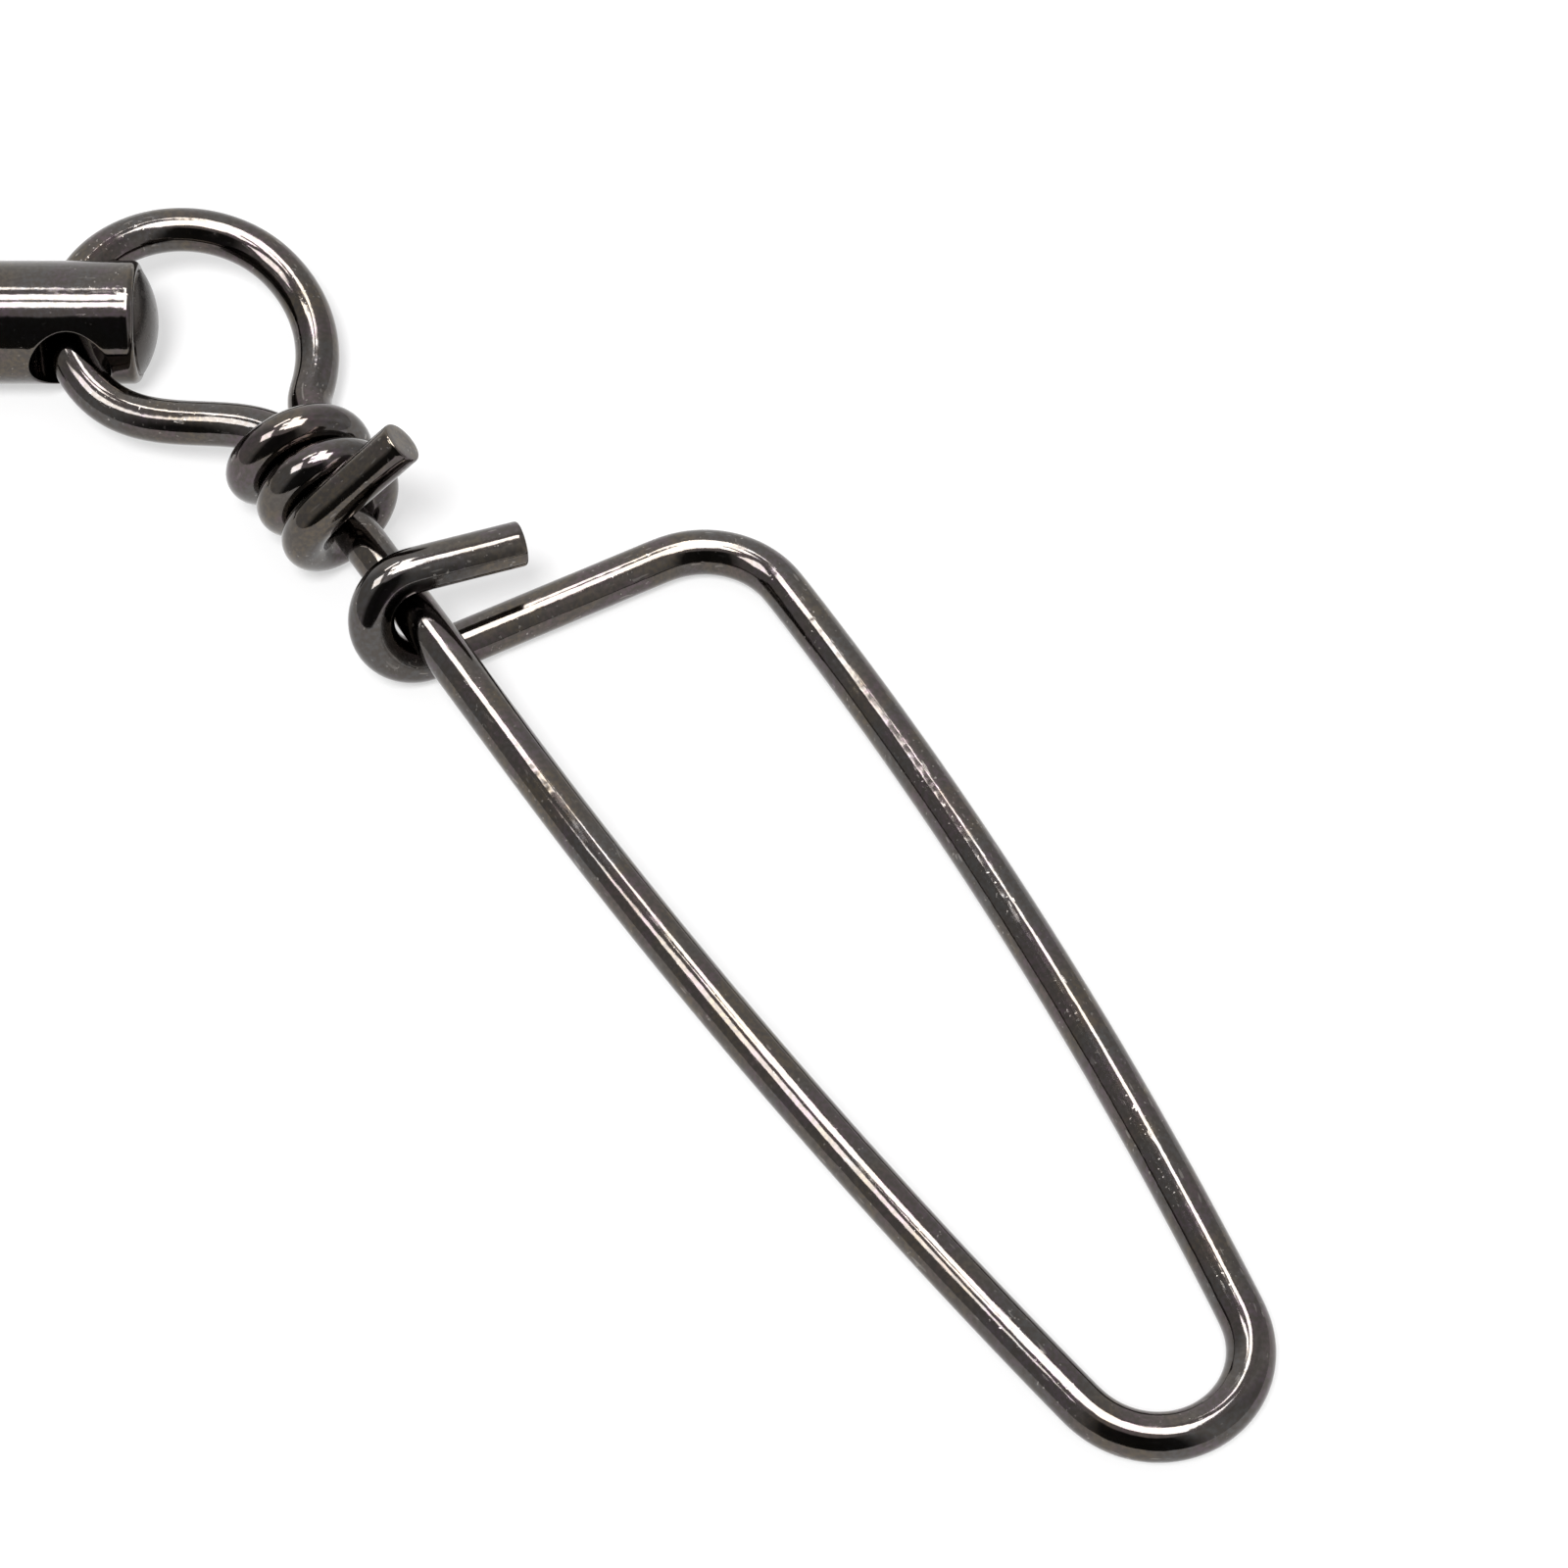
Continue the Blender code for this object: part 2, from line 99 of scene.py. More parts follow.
# A cut end of the wire: each row's depth, its share of the radius, and the length left free for it
CUT_DEPTHS = np.array([0.10, 0.045, 0.012, 0.0, 0.006, 0.012]) * MM
CUT_SHARES = np.array([1.0, 0.985, 0.955, 0.91, 0.6, 0.0])
CUT_LENGTH = 0.14 * MM

# Places on the turned pieces, with the window as the stretch of wall round a cross hole
WINDOW_MARGIN = 0.12 * MM
WINDOW_END = 5.71 * MM
PLAIN_WALL_START = 5.85 * MM
KNOB_WINDOW_MARGIN = 0.02 * MM
GROOVE_DEPTH = 0.1 * MM
GROOVE_HALF_BOTTOM = 0.1 * MM
GROOVE_HALF_TOP = 0.16 * MM
BUSHING_BEVEL = 0.02 * MM
WASHER_BEVEL = 0.03 * MM

# The weld of the line ring
WELD_ANGLE = 52.0
WELD_SWELLING = 0.02
WELD_REACH = 0.35 * MM

# Fineness of the surfaces
PATH_STEP_ANGLE = 2.0
BOW_STEP_ANGLE = 0.25
LEAD_POINTS = 40
WIRE_STEP = 0.12 * MM
WIRE_SIDES = 48
WIRE_SOFTENING = 0.3 * MM
BELL_HALF_WIDTH = 3
GUESS_DIRECTION = np.array([0.31, 0.17, 0.94])
ROUNDING_STEP_ANGLE = 9.0
TURNED_COLUMNS = 120
WINDOW_HALF_COLUMNS = 20
WINDOW_ROWS = 24
FILL_ROWS = 13
FILL_BUNCHING = 0.8
RIM_ROWS = 6
TUNNEL_ROWS = 10
DOME_ROWS = 24
WALL_ROWS = 8
BALL_ROWS = 25
BALL_COLUMNS = 48
RING_ROWS = 240
MERGE_DISTANCE = 0.0001 * MM
SHARP_ANGLE = 32.0

# Noise in the metals: patches per millimetre, and detail
LINE_NOISE = (1.0, 3.0)
WAVE_NOISE = (0.55, 1.0)
FINE_WAVE_NOISE = (2.4, 1.0)
GRAIN_NOISE = (9.0, 2.0)
GRINDING_NOISE = (2.0, 3.0)

# Patches in the metals: shift in millimetres, patches per millimetre, detail, and start and end of their rise
HANDLED = (31.7, 0.45, 2.0, 0.42, 0.60)
SPECKS = (17.3, 6.0, 1.0, 0.69, 0.75)
SCRATCHES = (9.1, 1.0, 1.0, 0.69, 0.725)
SCUFFS = (5.1, 1.0, 3.0, 0.60, 0.72)
TINT = (3.7, 0.40, 2.0, 0.40, 0.60)
PURPLE = (41.3, 0.55, 2.0, 0.46, 0.64)
UNPITTED = (23.9, 5.5, 3.0, 0.36, 0.66)
STAINED = (0.0, 1.2, 2.0, 0.4, 0.7)

# How many times finer a pattern is along each number of its place
DRAWN_LINES = (5.0, 5.0, 0.35)
TURNED_LINES = (0.9, 0.9, 5.0)
FINE_WAVE_STRETCH = (1.0, 1.0, 0.8)
SCRATCH_STRETCH = (5.5, 5.5, 1.2)
SCUFF_STRETCH = (2.6, 2.6, 0.8)
GRINDING_STRETCH = (1.0, 9.0, 4.0)

# How much each pattern counts in the colour
PURPLE_SHARE = 0.8
SPECK_WEAR = 0.6
SCRATCH_WEAR = 0.35
STAIN_SHARE = 0.4

# What each pattern adds to the roughness
LINE_ROUGHNESS = 0.04
SCUFF_ROUGHNESS = 0.10
WORN_ROUGHNESS = 0.2
GRAIN_ROUGHNESS = 0.03
DULL_ROUGHNESS = 0.18
STEEL_ROUGHNESS = 0.1
GRINDING_ROUGHNESS = 0.12

# Heights and depths of the relief, and the edge of the cap's dull end with its painted shade, in millimetres
LINE_HEIGHT = 0.0018
WAVE_HEIGHT = 0.010
FINE_WAVE_HEIGHT = 0.0030
HANDLED_WAVE_HEIGHT = 0.0035
GRAIN_HEIGHT = 0.00025
SPECK_DEPTH = 0.0012
SCRATCH_DEPTH = 0.0010
GRINDING_HEIGHT = 0.0008
DULL_SHADED_EDGE_BEFORE = 0.04
DULL_SHADED_EDGE_AFTER = 0.02

# The camera's film and range, and the floor's disc
SENSOR_WIDTH = 36.0
CLIP_START = 0.01
CLIP_END = 10.0
FLOOR_RADIUS = 1.2
FLOOR_RINGS = 25
FLOOR_COLUMNS = 96

# Level panels: place to the right and away, width, depth, each in lamp heights, and turn in degrees
LAMP_HEIGHT = 0.6
OVERHEAD_PANELS = (
    ("overhead_far", -0.03, 0.41, 0.22, 0.31, 0.0),
    ("overhead_near", 0.09, 0.01, 0.46, 0.50, 0.0),
    ("strip_far", -0.22, 0.185, 0.16, 0.19, 0.0),
    ("strip_near", -0.22, -0.075, 0.16, 0.17, 0.0),
    ("overhead_left", -0.42, 0.455, 0.43, 0.13, 29.0),
)
SIDE_PANEL = ("side", -0.77, -0.16, 0.50, 0.50, 0.0)

# The sun: how far to the right, away and up it stands, and its spread in degrees
SUN_DIRECTION = (-0.13, -0.41, 0.92)
SUN_SPREAD = 20.0

# The room's walls: share of the way round from the camera's side, by the left, and brightness there
WALL_STOPS = (
    (0.0, 0.03), (0.09, 0.05), (0.14, 0.5), (0.33, 0.5), (0.38, 1.0), (0.5, 1.1), (0.58, 0.8),
    (0.64, 0.62), (0.70, 0.8), (0.76, 0.5), (0.87, 0.75), (0.93, 0.05), (1.0, 0.03),
)

# The room's ceiling: how far up a direction points where it starts and where it is full, and its colour
CEILING_START = 0.85
CEILING_FULL = 0.885
CEILING = (0.7, 0.66, 0.68, 1.0)


def find_joint(name):
    """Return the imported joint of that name."""
    for entry in frame["joints"]:
        if entry["name"] == name:
            return entry
    raise RuntimeError(f"the packed model has no joint named {name}")


SWING = find_joint("barrel_swing")
SPIN = find_joint("stem_spin")
SWIVEL_PLACE = np.array(SWING["pos_m"])
SWIVEL_AXIS = np.array(SPIN["axis"])
BARREL_HEIGHT = float(SWIVEL_PLACE[2])


def length(name, description, millimetres):
    """Return a length property that starts at a number of millimetres."""
    return FloatProperty(
        name=name,
        description=description,
        default=millimetres * MM,
        min=0.0,
        precision=5,
        unit="LENGTH",
        subtype="DISTANCE",
    )


def colour(name, description, red, green, blue):
    """Return a colour property in linear light."""
    return FloatVectorProperty(
        name=name,
        description=description,
        default=(red, green, blue),
        min=0.0,
        max=1.0,
        subtype="COLOR",
    )


def amount(name, description, value):
    """Return a plain number property."""
    return FloatProperty(name=name, description=description, default=value, min=0.0, precision=3)


def angle(name, description, degrees):
    """Return an angle property that starts at a number of degrees."""
    return FloatProperty(
        name=name, description=description, default=math.radians(degrees), unit="ROTATION", subtype="ANGLE"
    )


class SnapSizes(bpy.types.PropertyGroup):
    """Sizes of the snap's bent wire."""

    wire: length("Wire", "Diameter of the wire", 1.8)
    wrap_gap: length("Wrap gap", "Clearance between the shank and the turns about it", 0.12)
    turn_gap: length("Turn gap", "Clearance between neighbouring turns", 0.2)
    eye_radius: length("Eye radius", "Radius of the eye's round end", 4.85)
    eye_offset: length("Eye offset", "Distance of the eye's centre beside the shank", 0.44)
    eye_wide_radius: length("Wide arc", "Radius of the eye's wider arc", 6.35)
    eye_lift: length("Eye lift", "Height of the eye over the barrel's middle", 0.25)
    coil_distance: length("Coil distance", "Distance from the eye to the first turn", 8.33)
    coil_bulge: length("Coil bulge", "How far the turn next to the eye bulges out", 0.27)
    coil_to_shank: length("Coil to shank", "Distance from the first turn to the shank's start", 0.35)
    tag_length: length("Tag", "Length of the wire's straight end beyond the coil", 4.7)
    shank_straight: length("Straight shank", "Distance from the eye to where the shank bows", 25.5)
    shank_bow_radius: length("Bow radius", "Radius of the shank's slight bow", 196.0)
    shank_length: length("Shank", "Distance from the eye to the bottom bend", 58.95)
    bend_radius: length("Bend radius", "Radius of the bottom bend", 3.53)
    bend_easing: length("Bend easing", "Length in which the bend comes down to lie level", 5.0)
    leg_end: length("Leg end", "Distance from the eye to where the second leg ends", 23.33)
    corner_radius: length("Corner radius", "Radius of the corner before the arm", 3.7)
    hook_shift: length("Hook shift", "How far the hook moves along the shank as it wraps it", 1.5)
    hook_tip: length("Hook tip", "Length of the hook's straight tip", 4.6)


class SwivelSizes(bpy.types.PropertyGroup):
    """Sizes of the swivel."""

    barrel_length: length("Barrel length", "Length of the barrel", 10.6)
    shoulder_length: length("Shoulder", "Distance from the dome's tip to the straight wall", 1.0)
    shoulder_radius: length("Shoulder radius", "Radius of the rounded shoulder", 0.3)
    seam_width: length("Seam width", "Width of the fine seam round the domed cap", 0.1)
    seam_depth: length("Seam depth", "Depth of the fine seam", 0.06)
    tip_to_hole: length("Tip to hole", "Distance from the dome's tip to the cross hole", 3.36)
    eye_slack: length("Eye slack", "Clearance of the eye's wire in the cross hole", 0.79)
    rim_break: length("Rim break", "Size of the broken edge round a cross hole", 0.11)
    bore: length("Bore", "Diameter of the bore", 3.5)
    bushing_length: length("Bushing", "Length of the bushing", 1.6)
    bushing_fit: length("Bushing fit", "Clearance of the bushing in the bore", 0.03)
    stem_play: length("Stem play", "Clearance of the stem in the bushing", 0.12)
    washer: length("Washer", "Thickness of the thrust washer", 0.3)
    washer_play: length("Washer play", "Clearance of the washer in the bore", 0.1)
    ball: length("Ball", "Diameter of a ball", 0.8)
    ball_play: length("Ball play", "Clearance beside the balls", 0.05)
    ball_count: IntProperty(name="Balls", description="Number of balls in the ring", default=9, min=3)
    stem: length("Stem", "Diameter of the stem's shaft", 1.5)
    head: length("Head", "Thickness of the stem's head", 1.2)
    head_play: length("Head play", "Clearance of the head in the bore", 0.15)
    head_gap: length("Head gap", "Gap between the head and the bore's bottom", 0.55)
    knob_gap: length("Knob gap", "Gap between the barrel and the knob", 0.35)
    knob: length("Knob", "Diameter of the knob", 3.4)
    knob_length: length("Knob length", "Length of the knob", 4.2)
    knob_rounding: length("Knob rounding", "Radius of the knob's rounded edges", 0.8)
    ring_slack: length("Ring slack", "Clearance of the ring's wire in the knob's hole", 0.34)
    ring_wire: length("Ring wire", "Diameter of the line ring's wire", 1.4)
    ring: length("Line ring", "Outer diameter of the line ring", 9.8)
    edge_break: length("Edge break", "Size of the small chamfers", 0.08)


class FinishSettings(bpy.types.PropertyGroup):
    """Colours and polish of the metals."""

    warm_nickel: colour("Warm nickel", "Black nickel where it looks brown", 0.122, 0.103, 0.081)
    cool_nickel: colour("Cool nickel", "Black nickel where it looks plain grey", 0.105, 0.101, 0.099)
    purple_nickel: colour("Purple nickel", "Black nickel where it looks purple", 0.118, 0.092, 0.105)
    pitted_nickel: colour("Pitted nickel", "Black nickel in its fine dark pits", 0.090, 0.081, 0.074)
    # The barrel's cap: the darker colour is painted shade for the darker reflection the cap shows, and its
    # duller finish comes from the roughness
    painted_shade_cap_nickel: colour("Dull nickel", "Black nickel on the barrel's cap", 0.060, 0.054, 0.050)
    worn_nickel: colour("Worn nickel", "Plating rubbed at specks and scratches", 0.40, 0.375, 0.35)
    steel: colour("Steel", "Bare ground steel", 0.55, 0.55, 0.56)
    stained_steel: colour("Stained steel", "Ground steel where it is stained", 0.42, 0.41, 0.40)
    polish: amount("Polish", "Roughness of the polished plating", 0.06)
    satin: amount("Satin", "Roughness of the satin plating", 0.24)


class StageSettings(bpy.types.PropertyGroup):
    """Camera, floor and lamps."""

    azimuth: angle("Azimuth", "Direction the camera looks from, about the upright axis", 57.05)
    elevation: angle("Elevation", "Height of the camera above the floor, as an angle", 57.0)
    distance: length("Distance", "Distance from the camera to the picture's middle", 178.1)
    lens: amount("Lens", "Focal length in millimetres on a sensor 36 mm wide", 105.75)
    aim_x: length("Aim X", "Where the middle of the picture falls on the floor", 6.63)
    aim_y: length("Aim Y", "Where the middle of the picture falls on the floor", 11.76)
    floor: colour("Floor", "Colour of the floor", 0.80, 0.80, 0.80)
    floor_lift: amount("Floor lift", "Share of plain white in what the floor shows", 0.56)
    overhead: amount("Overhead", "Brightness of the overhead softbox", 12.5)
    side: amount("Side", "Brightness of the softbox at the left", 9.0)
    sun: amount("Sun", "Strength of the sun on the floor", 3.4)


def unit(vectors):
    """Return the vectors at a length of one."""
    return vectors / np.linalg.norm(vectors, axis=-1, keepdims=True)


def sweep(start, end, step):
    """Return angles in radians from start to end, at most a step apart, in degrees."""
    count = max(1, math.ceil(abs(end - start) / step))
    return np.radians(np.linspace(start, end, count + 1))


def full_turn(count):
    """Return so many angles, evenly round a full turn, in radians."""
    return 2 * math.pi * np.arange(count) / count


def travelled(line):
    """Return how far along a line each point is: the sum of the steps before it."""
    steps = np.linalg.norm(np.diff(line, axis=0), axis=1)
    return np.concatenate([[0.0], np.cumsum(steps)])


def new_object(name, data):
    """Return a new object that is linked to the scene."""
    made = bpy.data.objects.new(name, data)
    bpy.context.scene.collection.objects.link(made)
    return made


def hermite(t, start, leaving, end, arriving):
    """Return a cubic between two ends: each end and each end's direction times its cubic weight."""
    return (
        (2 * t ** 3 - 3 * t ** 2 + 1) * start
        + (t ** 3 - 2 * t ** 2 + t) * leaving
        + (3 * t ** 2 - 2 * t ** 3) * end
        + (t ** 3 - t ** 2) * arriving
    )


def lead(start, leaving, end, arriving, pull):
    """Return the points inside a smooth lead: a cubic whose end directions are pull times its span."""
    t = np.linspace(0.0, 1.0, LEAD_POINTS + 2)[1:-1, None]
    reach = np.linalg.norm(end - start) * pull
    return hermite(t, start, reach * leaving, end, reach * arriving)


class SnapPath:
    """The centre line of the snap's wire, with the shank along X."""

    def __init__(self, sizes):
        self.sizes = sizes
        self.wrap_radius = sizes.wire + sizes.wrap_gap
        self.shank_height = sizes.wire / 2 + self.wrap_radius
        self.pitch = sizes.wire + sizes.turn_gap

    def wrap(self, places, angles):
        """A helix: the place along the shank, and the wrap radius at an angle about it."""
        y = self.wrap_radius * np.cos(angles)
        z = self.shank_height - self.wrap_radius * np.sin(angles)
        return np.stack([places, y, z], axis=1)

    def coil_direction(self, about):
        """The helix's direction: the pitch per radian along, and the circle's own direction."""
        rise = self.pitch / (2 * math.pi)
        y = -self.wrap_radius * math.sin(about)
        z = -self.wrap_radius * math.cos(about)
        return unit(np.array([rise, y, z]))

    def coil(self):
        """The straight tag, and then the helix back to the eye.

        The turn next to the eye is pushed out sideways by a squared sine of its angle.
        """
        angles = sweep(COIL_END_ANGLE, COIL_START_ANGLE, PATH_STEP_ANGLE)
        places = self.sizes.coil_distance + self.pitch * (angles - math.pi) / (2 * math.pi)
        turns = self.wrap(places, angles)
        bulge_share = (angles - angles[-1]) / (math.radians(COIL_BULGE_END_ANGLE) - angles[-1])
        turns[:, 1] -= self.sizes.coil_bulge * np.sin(math.pi * np.minimum(bulge_share, 1.0)) ** 2
        tag = turns[0] + self.coil_direction(angles[0]) * self.sizes.tag_length
        return np.vstack([tag, turns])

    def eye(self):
        """Two arcs that join smoothly on a sloping plane, and the directions at both ends."""
        sizes = self.sizes
        towards = math.radians(EYE_SLOPE_ANGLE)
        slope = np.array([EYE_SLOPE * math.cos(towards), EYE_SLOPE * math.sin(towards)])
        at_barrel = sizes.eye_radius * (slope @ SWIVEL_AXIS[:2])
        height = BARREL_HEIGHT + sizes.eye_lift - at_barrel
        wide = sweep(EYE_WIDE_START_ANGLE, EYE_WIDE_END_ANGLE, PATH_STEP_ANGLE)
        round_end = sweep(EYE_WIDE_END_ANGLE, EYE_ROUND_END_ANGLE, PATH_STEP_ANGLE)[1:]
        inward = sizes.eye_radius - sizes.eye_wide_radius
        wide_x = inward * math.cos(wide[-1]) + sizes.eye_wide_radius * np.cos(wide)
        wide_y = inward * math.sin(wide[-1]) + sizes.eye_wide_radius * np.sin(wide)
        x = np.concatenate([wide_x, sizes.eye_radius * np.cos(round_end)])
        y = np.concatenate([wide_y, sizes.eye_radius * np.sin(round_end)])
        z = height + slope[0] * x + slope[1] * y
        about = np.array([wide[0], round_end[-1]])
        level = np.stack([-np.sin(about), np.cos(about)], axis=1)
        directions = unit(np.column_stack([level, level @ slope]))
        return np.stack([x, y - sizes.eye_offset, z], axis=1), directions[0], directions[1]

    def turn(self, start, radius, from_heading, to_heading, step):
        """A flat arc to the left: the heading's sine and cosine times the radius, after its start."""
        headings = sweep(from_heading, to_heading, step)
        x = start[0] + radius * (np.sin(headings) - math.sin(headings[0]))
        y = start[1] - radius * (np.cos(headings) - math.cos(headings[0]))
        return np.stack([x, y], axis=1)[1:]

    def legs(self):
        """The shank's bow, bottom bend, second leg and corner as arcs, and a drop that eases in and out."""
        sizes = self.sizes
        bow_sine = (sizes.shank_length - sizes.shank_straight) / sizes.shank_bow_radius
        bow_end = math.degrees(math.asin(bow_sine))
        straight_end = np.array([sizes.shank_straight, 0.0])
        bow = self.turn(straight_end, sizes.shank_bow_radius, 0.0, bow_end, BOW_STEP_ANGLE)
        bend = self.turn(bow[-1], sizes.bend_radius, bow_end, LEG_START_ANGLE, PATH_STEP_ANGLE)
        turned = math.sin(math.radians(LEG_START_ANGLE)) - math.sin(math.radians(LEG_END_ANGLE))
        leg_radius = (bend[-1][0] - sizes.leg_end) / turned
        leg = self.turn(bend[-1], leg_radius, LEG_START_ANGLE, LEG_END_ANGLE, BOW_STEP_ANGLE)
        corner = self.turn(leg[-1], sizes.corner_radius, LEG_END_ANGLE, ARM_ANGLE, PATH_STEP_ANGLE)
        flat = np.vstack([straight_end, bow, bend, leg, corner])
        distance = travelled(flat)
        bow_length = distance[len(bow)]
        full_drop = self.shank_height - sizes.wire / 2
        bow_drop = full_drop / (1 + sizes.bend_easing / bow_length)
        on_bow = np.clip(distance / bow_length, 0.0, 1.0)
        in_bend = np.clip((distance - bow_length) / sizes.bend_easing, 0.0, 1.0)
        drop = bow_drop * on_bow ** 2 + (full_drop - bow_drop) * (2 * in_bend - in_bend ** 2)
        return np.column_stack([flat, self.shank_height - drop])

    def hook(self, arm_start):
        """A wrap under the shank and back over it, whose place along is a cubic, and the straight tip."""
        arm = math.radians(ARM_ANGLE)
        tip = math.radians(HOOK_TIP_ANGLE)
        fall = math.radians(HOOK_TIP_FALL_ANGLE)
        under = arm_start[0] + arm_start[1] * math.cos(arm) / -math.sin(arm)
        angles = sweep(90.0, 270.0 + HOOK_TIP_FALL_ANGLE, PATH_STEP_ANGLE)
        span = angles[-1] - angles[0]
        round_length = self.wrap_radius * span
        leaving = round_length * math.cos(arm) / -math.sin(arm)
        arriving = round_length * math.cos(tip) / math.sin(tip)
        t = (angles - angles[0]) / span
        places = hermite(t, under, leaving, under - self.sizes.hook_shift, arriving)
        wrap = self.wrap(places, angles)
        level = math.sin(tip)
        ahead = unit(np.array([math.cos(tip), level * math.cos(fall), -level * math.sin(fall)]))
        return np.vstack([wrap, wrap[-1] + ahead * self.sizes.hook_tip])

    def points(self):
        """The whole line from the tag end to the hook's tip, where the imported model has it."""
        coil = self.coil()
        eye, eye_leaving, eye_arriving = self.eye()
        coil_in = -self.coil_direction(math.radians(COIL_START_ANGLE))
        eye_lead = lead(coil[-1], coil_in, eye[0], eye_leaving, EYE_LEAD_PULL)
        shank_place = self.sizes.coil_distance + self.sizes.coil_to_shank
        shank_start = np.array([shank_place, 0.0, self.shank_height])
        along = np.array([1.0, 0.0, 0.0])
        shank_lead = lead(eye[-1], eye_arriving, shank_start, along, SHANK_LEAD_PULL)
        legs = self.legs()
        hook = self.hook(legs[-1])
        line = np.vstack([coil, eye_lead, eye, shank_lead, shank_start, legs, hook])
        origin = np.array([SWIVEL_PLACE[0], SWIVEL_PLACE[1] + self.sizes.eye_offset, 0.0])
        return line + origin


def even_points(line, step):
    """Return points evenly along a line: its length is shared out and each axis read off."""
    distance = travelled(line)
    count = math.ceil(distance[-1] / step)
    wanted = np.linspace(0.0, distance[-1], count + 1)
    return np.stack([np.interp(wanted, distance, line[:, k]) for k in range(3)], axis=1)


def softened(line, step, reach):
    """Return the line with its bends eased: each point is a bell weighted mean of its neighbours."""
    half = math.ceil(BELL_HALF_WIDTH * reach / step)
    offsets = np.arange(-half, half + 1) * step
    weights = np.exp(-0.5 * (offsets / reach) ** 2)
    weights /= weights.sum()
    padded = np.pad(line, ((half, half), (0, 0)), mode="reflect", reflect_type="odd")
    return np.stack([np.convolve(padded[:, k], weights, mode="valid") for k in range(3)], axis=1)


def carried_frames(line):
    """Return the directions along a line and two across it that don't twist about it.

    A first guess is the cross product with a fixed direction. Each guess is carried to
    the next place by the smallest turn, the angle left over is measured, and the sum of
    those angles turns each guess back.
    """
    along = unit(np.gradient(line, axis=0))
    guess = unit(np.cross(along, GUESS_DIRECTION))
    before = along[:-1]
    after = along[1:]
    axis = np.cross(before, after)
    cosine = np.sum(before * after, axis=1, keepdims=True)
    on_axis = np.sum(axis * guess[:-1], axis=1, keepdims=True)
    carried = guess[:-1] * cosine + np.cross(axis, guess[:-1]) + axis * on_axis / (1 + cosine)
    side = np.cross(after, guess[1:])
    left_over = np.arctan2(np.sum(carried * side, axis=1), np.sum(carried * guess[1:], axis=1))
    total = np.concatenate([[0.0], np.cumsum(left_over)])[:, None]
    first = np.cos(total) * guess + np.sin(total) * np.cross(along, guess)
    return along, first, np.cross(along, first)


def grid_faces(rows, columns, round_rows=False):
    """Return the four corners of every cell of a grid whose columns go round, and its rows if asked."""
    row = np.arange(rows if round_rows else rows - 1)[:, None]
    column = np.arange(columns)[None, :]
    next_row = (row + 1) % rows
    next_column = (column + 1) % columns
    corners = [
        row * columns + column,
        row * columns + next_column,
        next_row * columns + next_column,
        next_row * columns + column,
    ]
    return np.stack(corners, axis=-1).reshape(-1, 4)


def add_piece(name, points, faces, lay, material):
    """Make a piece from points and faces, closed at its seams and poles, with its lay kept on it.

    The lay is a place in the piece's own unbent shape: two numbers across and one along.
    """
    mesh = bpy.data.meshes.new(name)
    mesh.from_pydata(points.tolist(), [], faces.tolist())
    layer = mesh.attributes.new("lay", "FLOAT_VECTOR", "POINT")
    layer.data.foreach_set("vector", np.ascontiguousarray(lay, dtype=np.float32).ravel())
    work = bmesh.new()
    work.from_mesh(mesh)
    bmesh.ops.remove_doubles(work, verts=work.verts, dist=MERGE_DISTANCE)
    bmesh.ops.recalc_face_normals(work, faces=work.faces)
    open_edges = [edge for edge in work.edges if len(edge.link_faces) != 2]
    work.to_mesh(mesh)
    work.free()
    if open_edges:
        raise RuntimeError(f"{name} has {len(open_edges)} open edges")
    mesh.shade_smooth()
    mesh.set_sharp_from_angle(angle=math.radians(SHARP_ANGLE))
    mesh.materials.append(material)
    return new_object(name, mesh)


def swivel_points(local, tip):
    """Return points along, across and above the swivel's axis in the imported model's place."""
    up = np.array([0.0, 0.0, 1.0])
    across = np.cross(up, SWIVEL_AXIS)
    along = (tip + local[..., 0:1]) * SWIVEL_AXIS
    return SWIVEL_PLACE + along + local[..., 1:2] * across + local[..., 2:3] * up


def rounding(place, radius, size, start, end):
    """Return a rounded edge of a profile: its centre less and plus the size at each angle."""
    angles = sweep(start, end, ROUNDING_STEP_ANGLE)
    return np.stack([place - size * np.cos(angles), radius + size * np.sin(angles)], axis=1)


def turned_grid(profile, columns):
    """Return a profile turned about the axis: its place along, and its radius at each angle."""
    about = full_turn(columns)
    place = np.repeat(profile[:, 0:1], columns, axis=1)
    across = profile[:, 1:2] * np.cos(about)
    above = profile[:, 1:2] * np.sin(about)
    return np.stack([place, across, above], axis=-1)


def swivel_lay(local):
    """Return the lay of a turned piece: across, above and along."""
    return local[..., [1, 2, 0]].reshape(-1, 3)


def bevelled(profile, size):
    """Return a closed profile whose corners are cut by two points, a size away on either side."""
    before = unit(np.roll(profile, 1, axis=0) - profile)
    after = unit(np.roll(profile, -1, axis=0) - profile)
    return np.stack([profile + before * size, profile + after * size], axis=1).reshape(-1, 2)


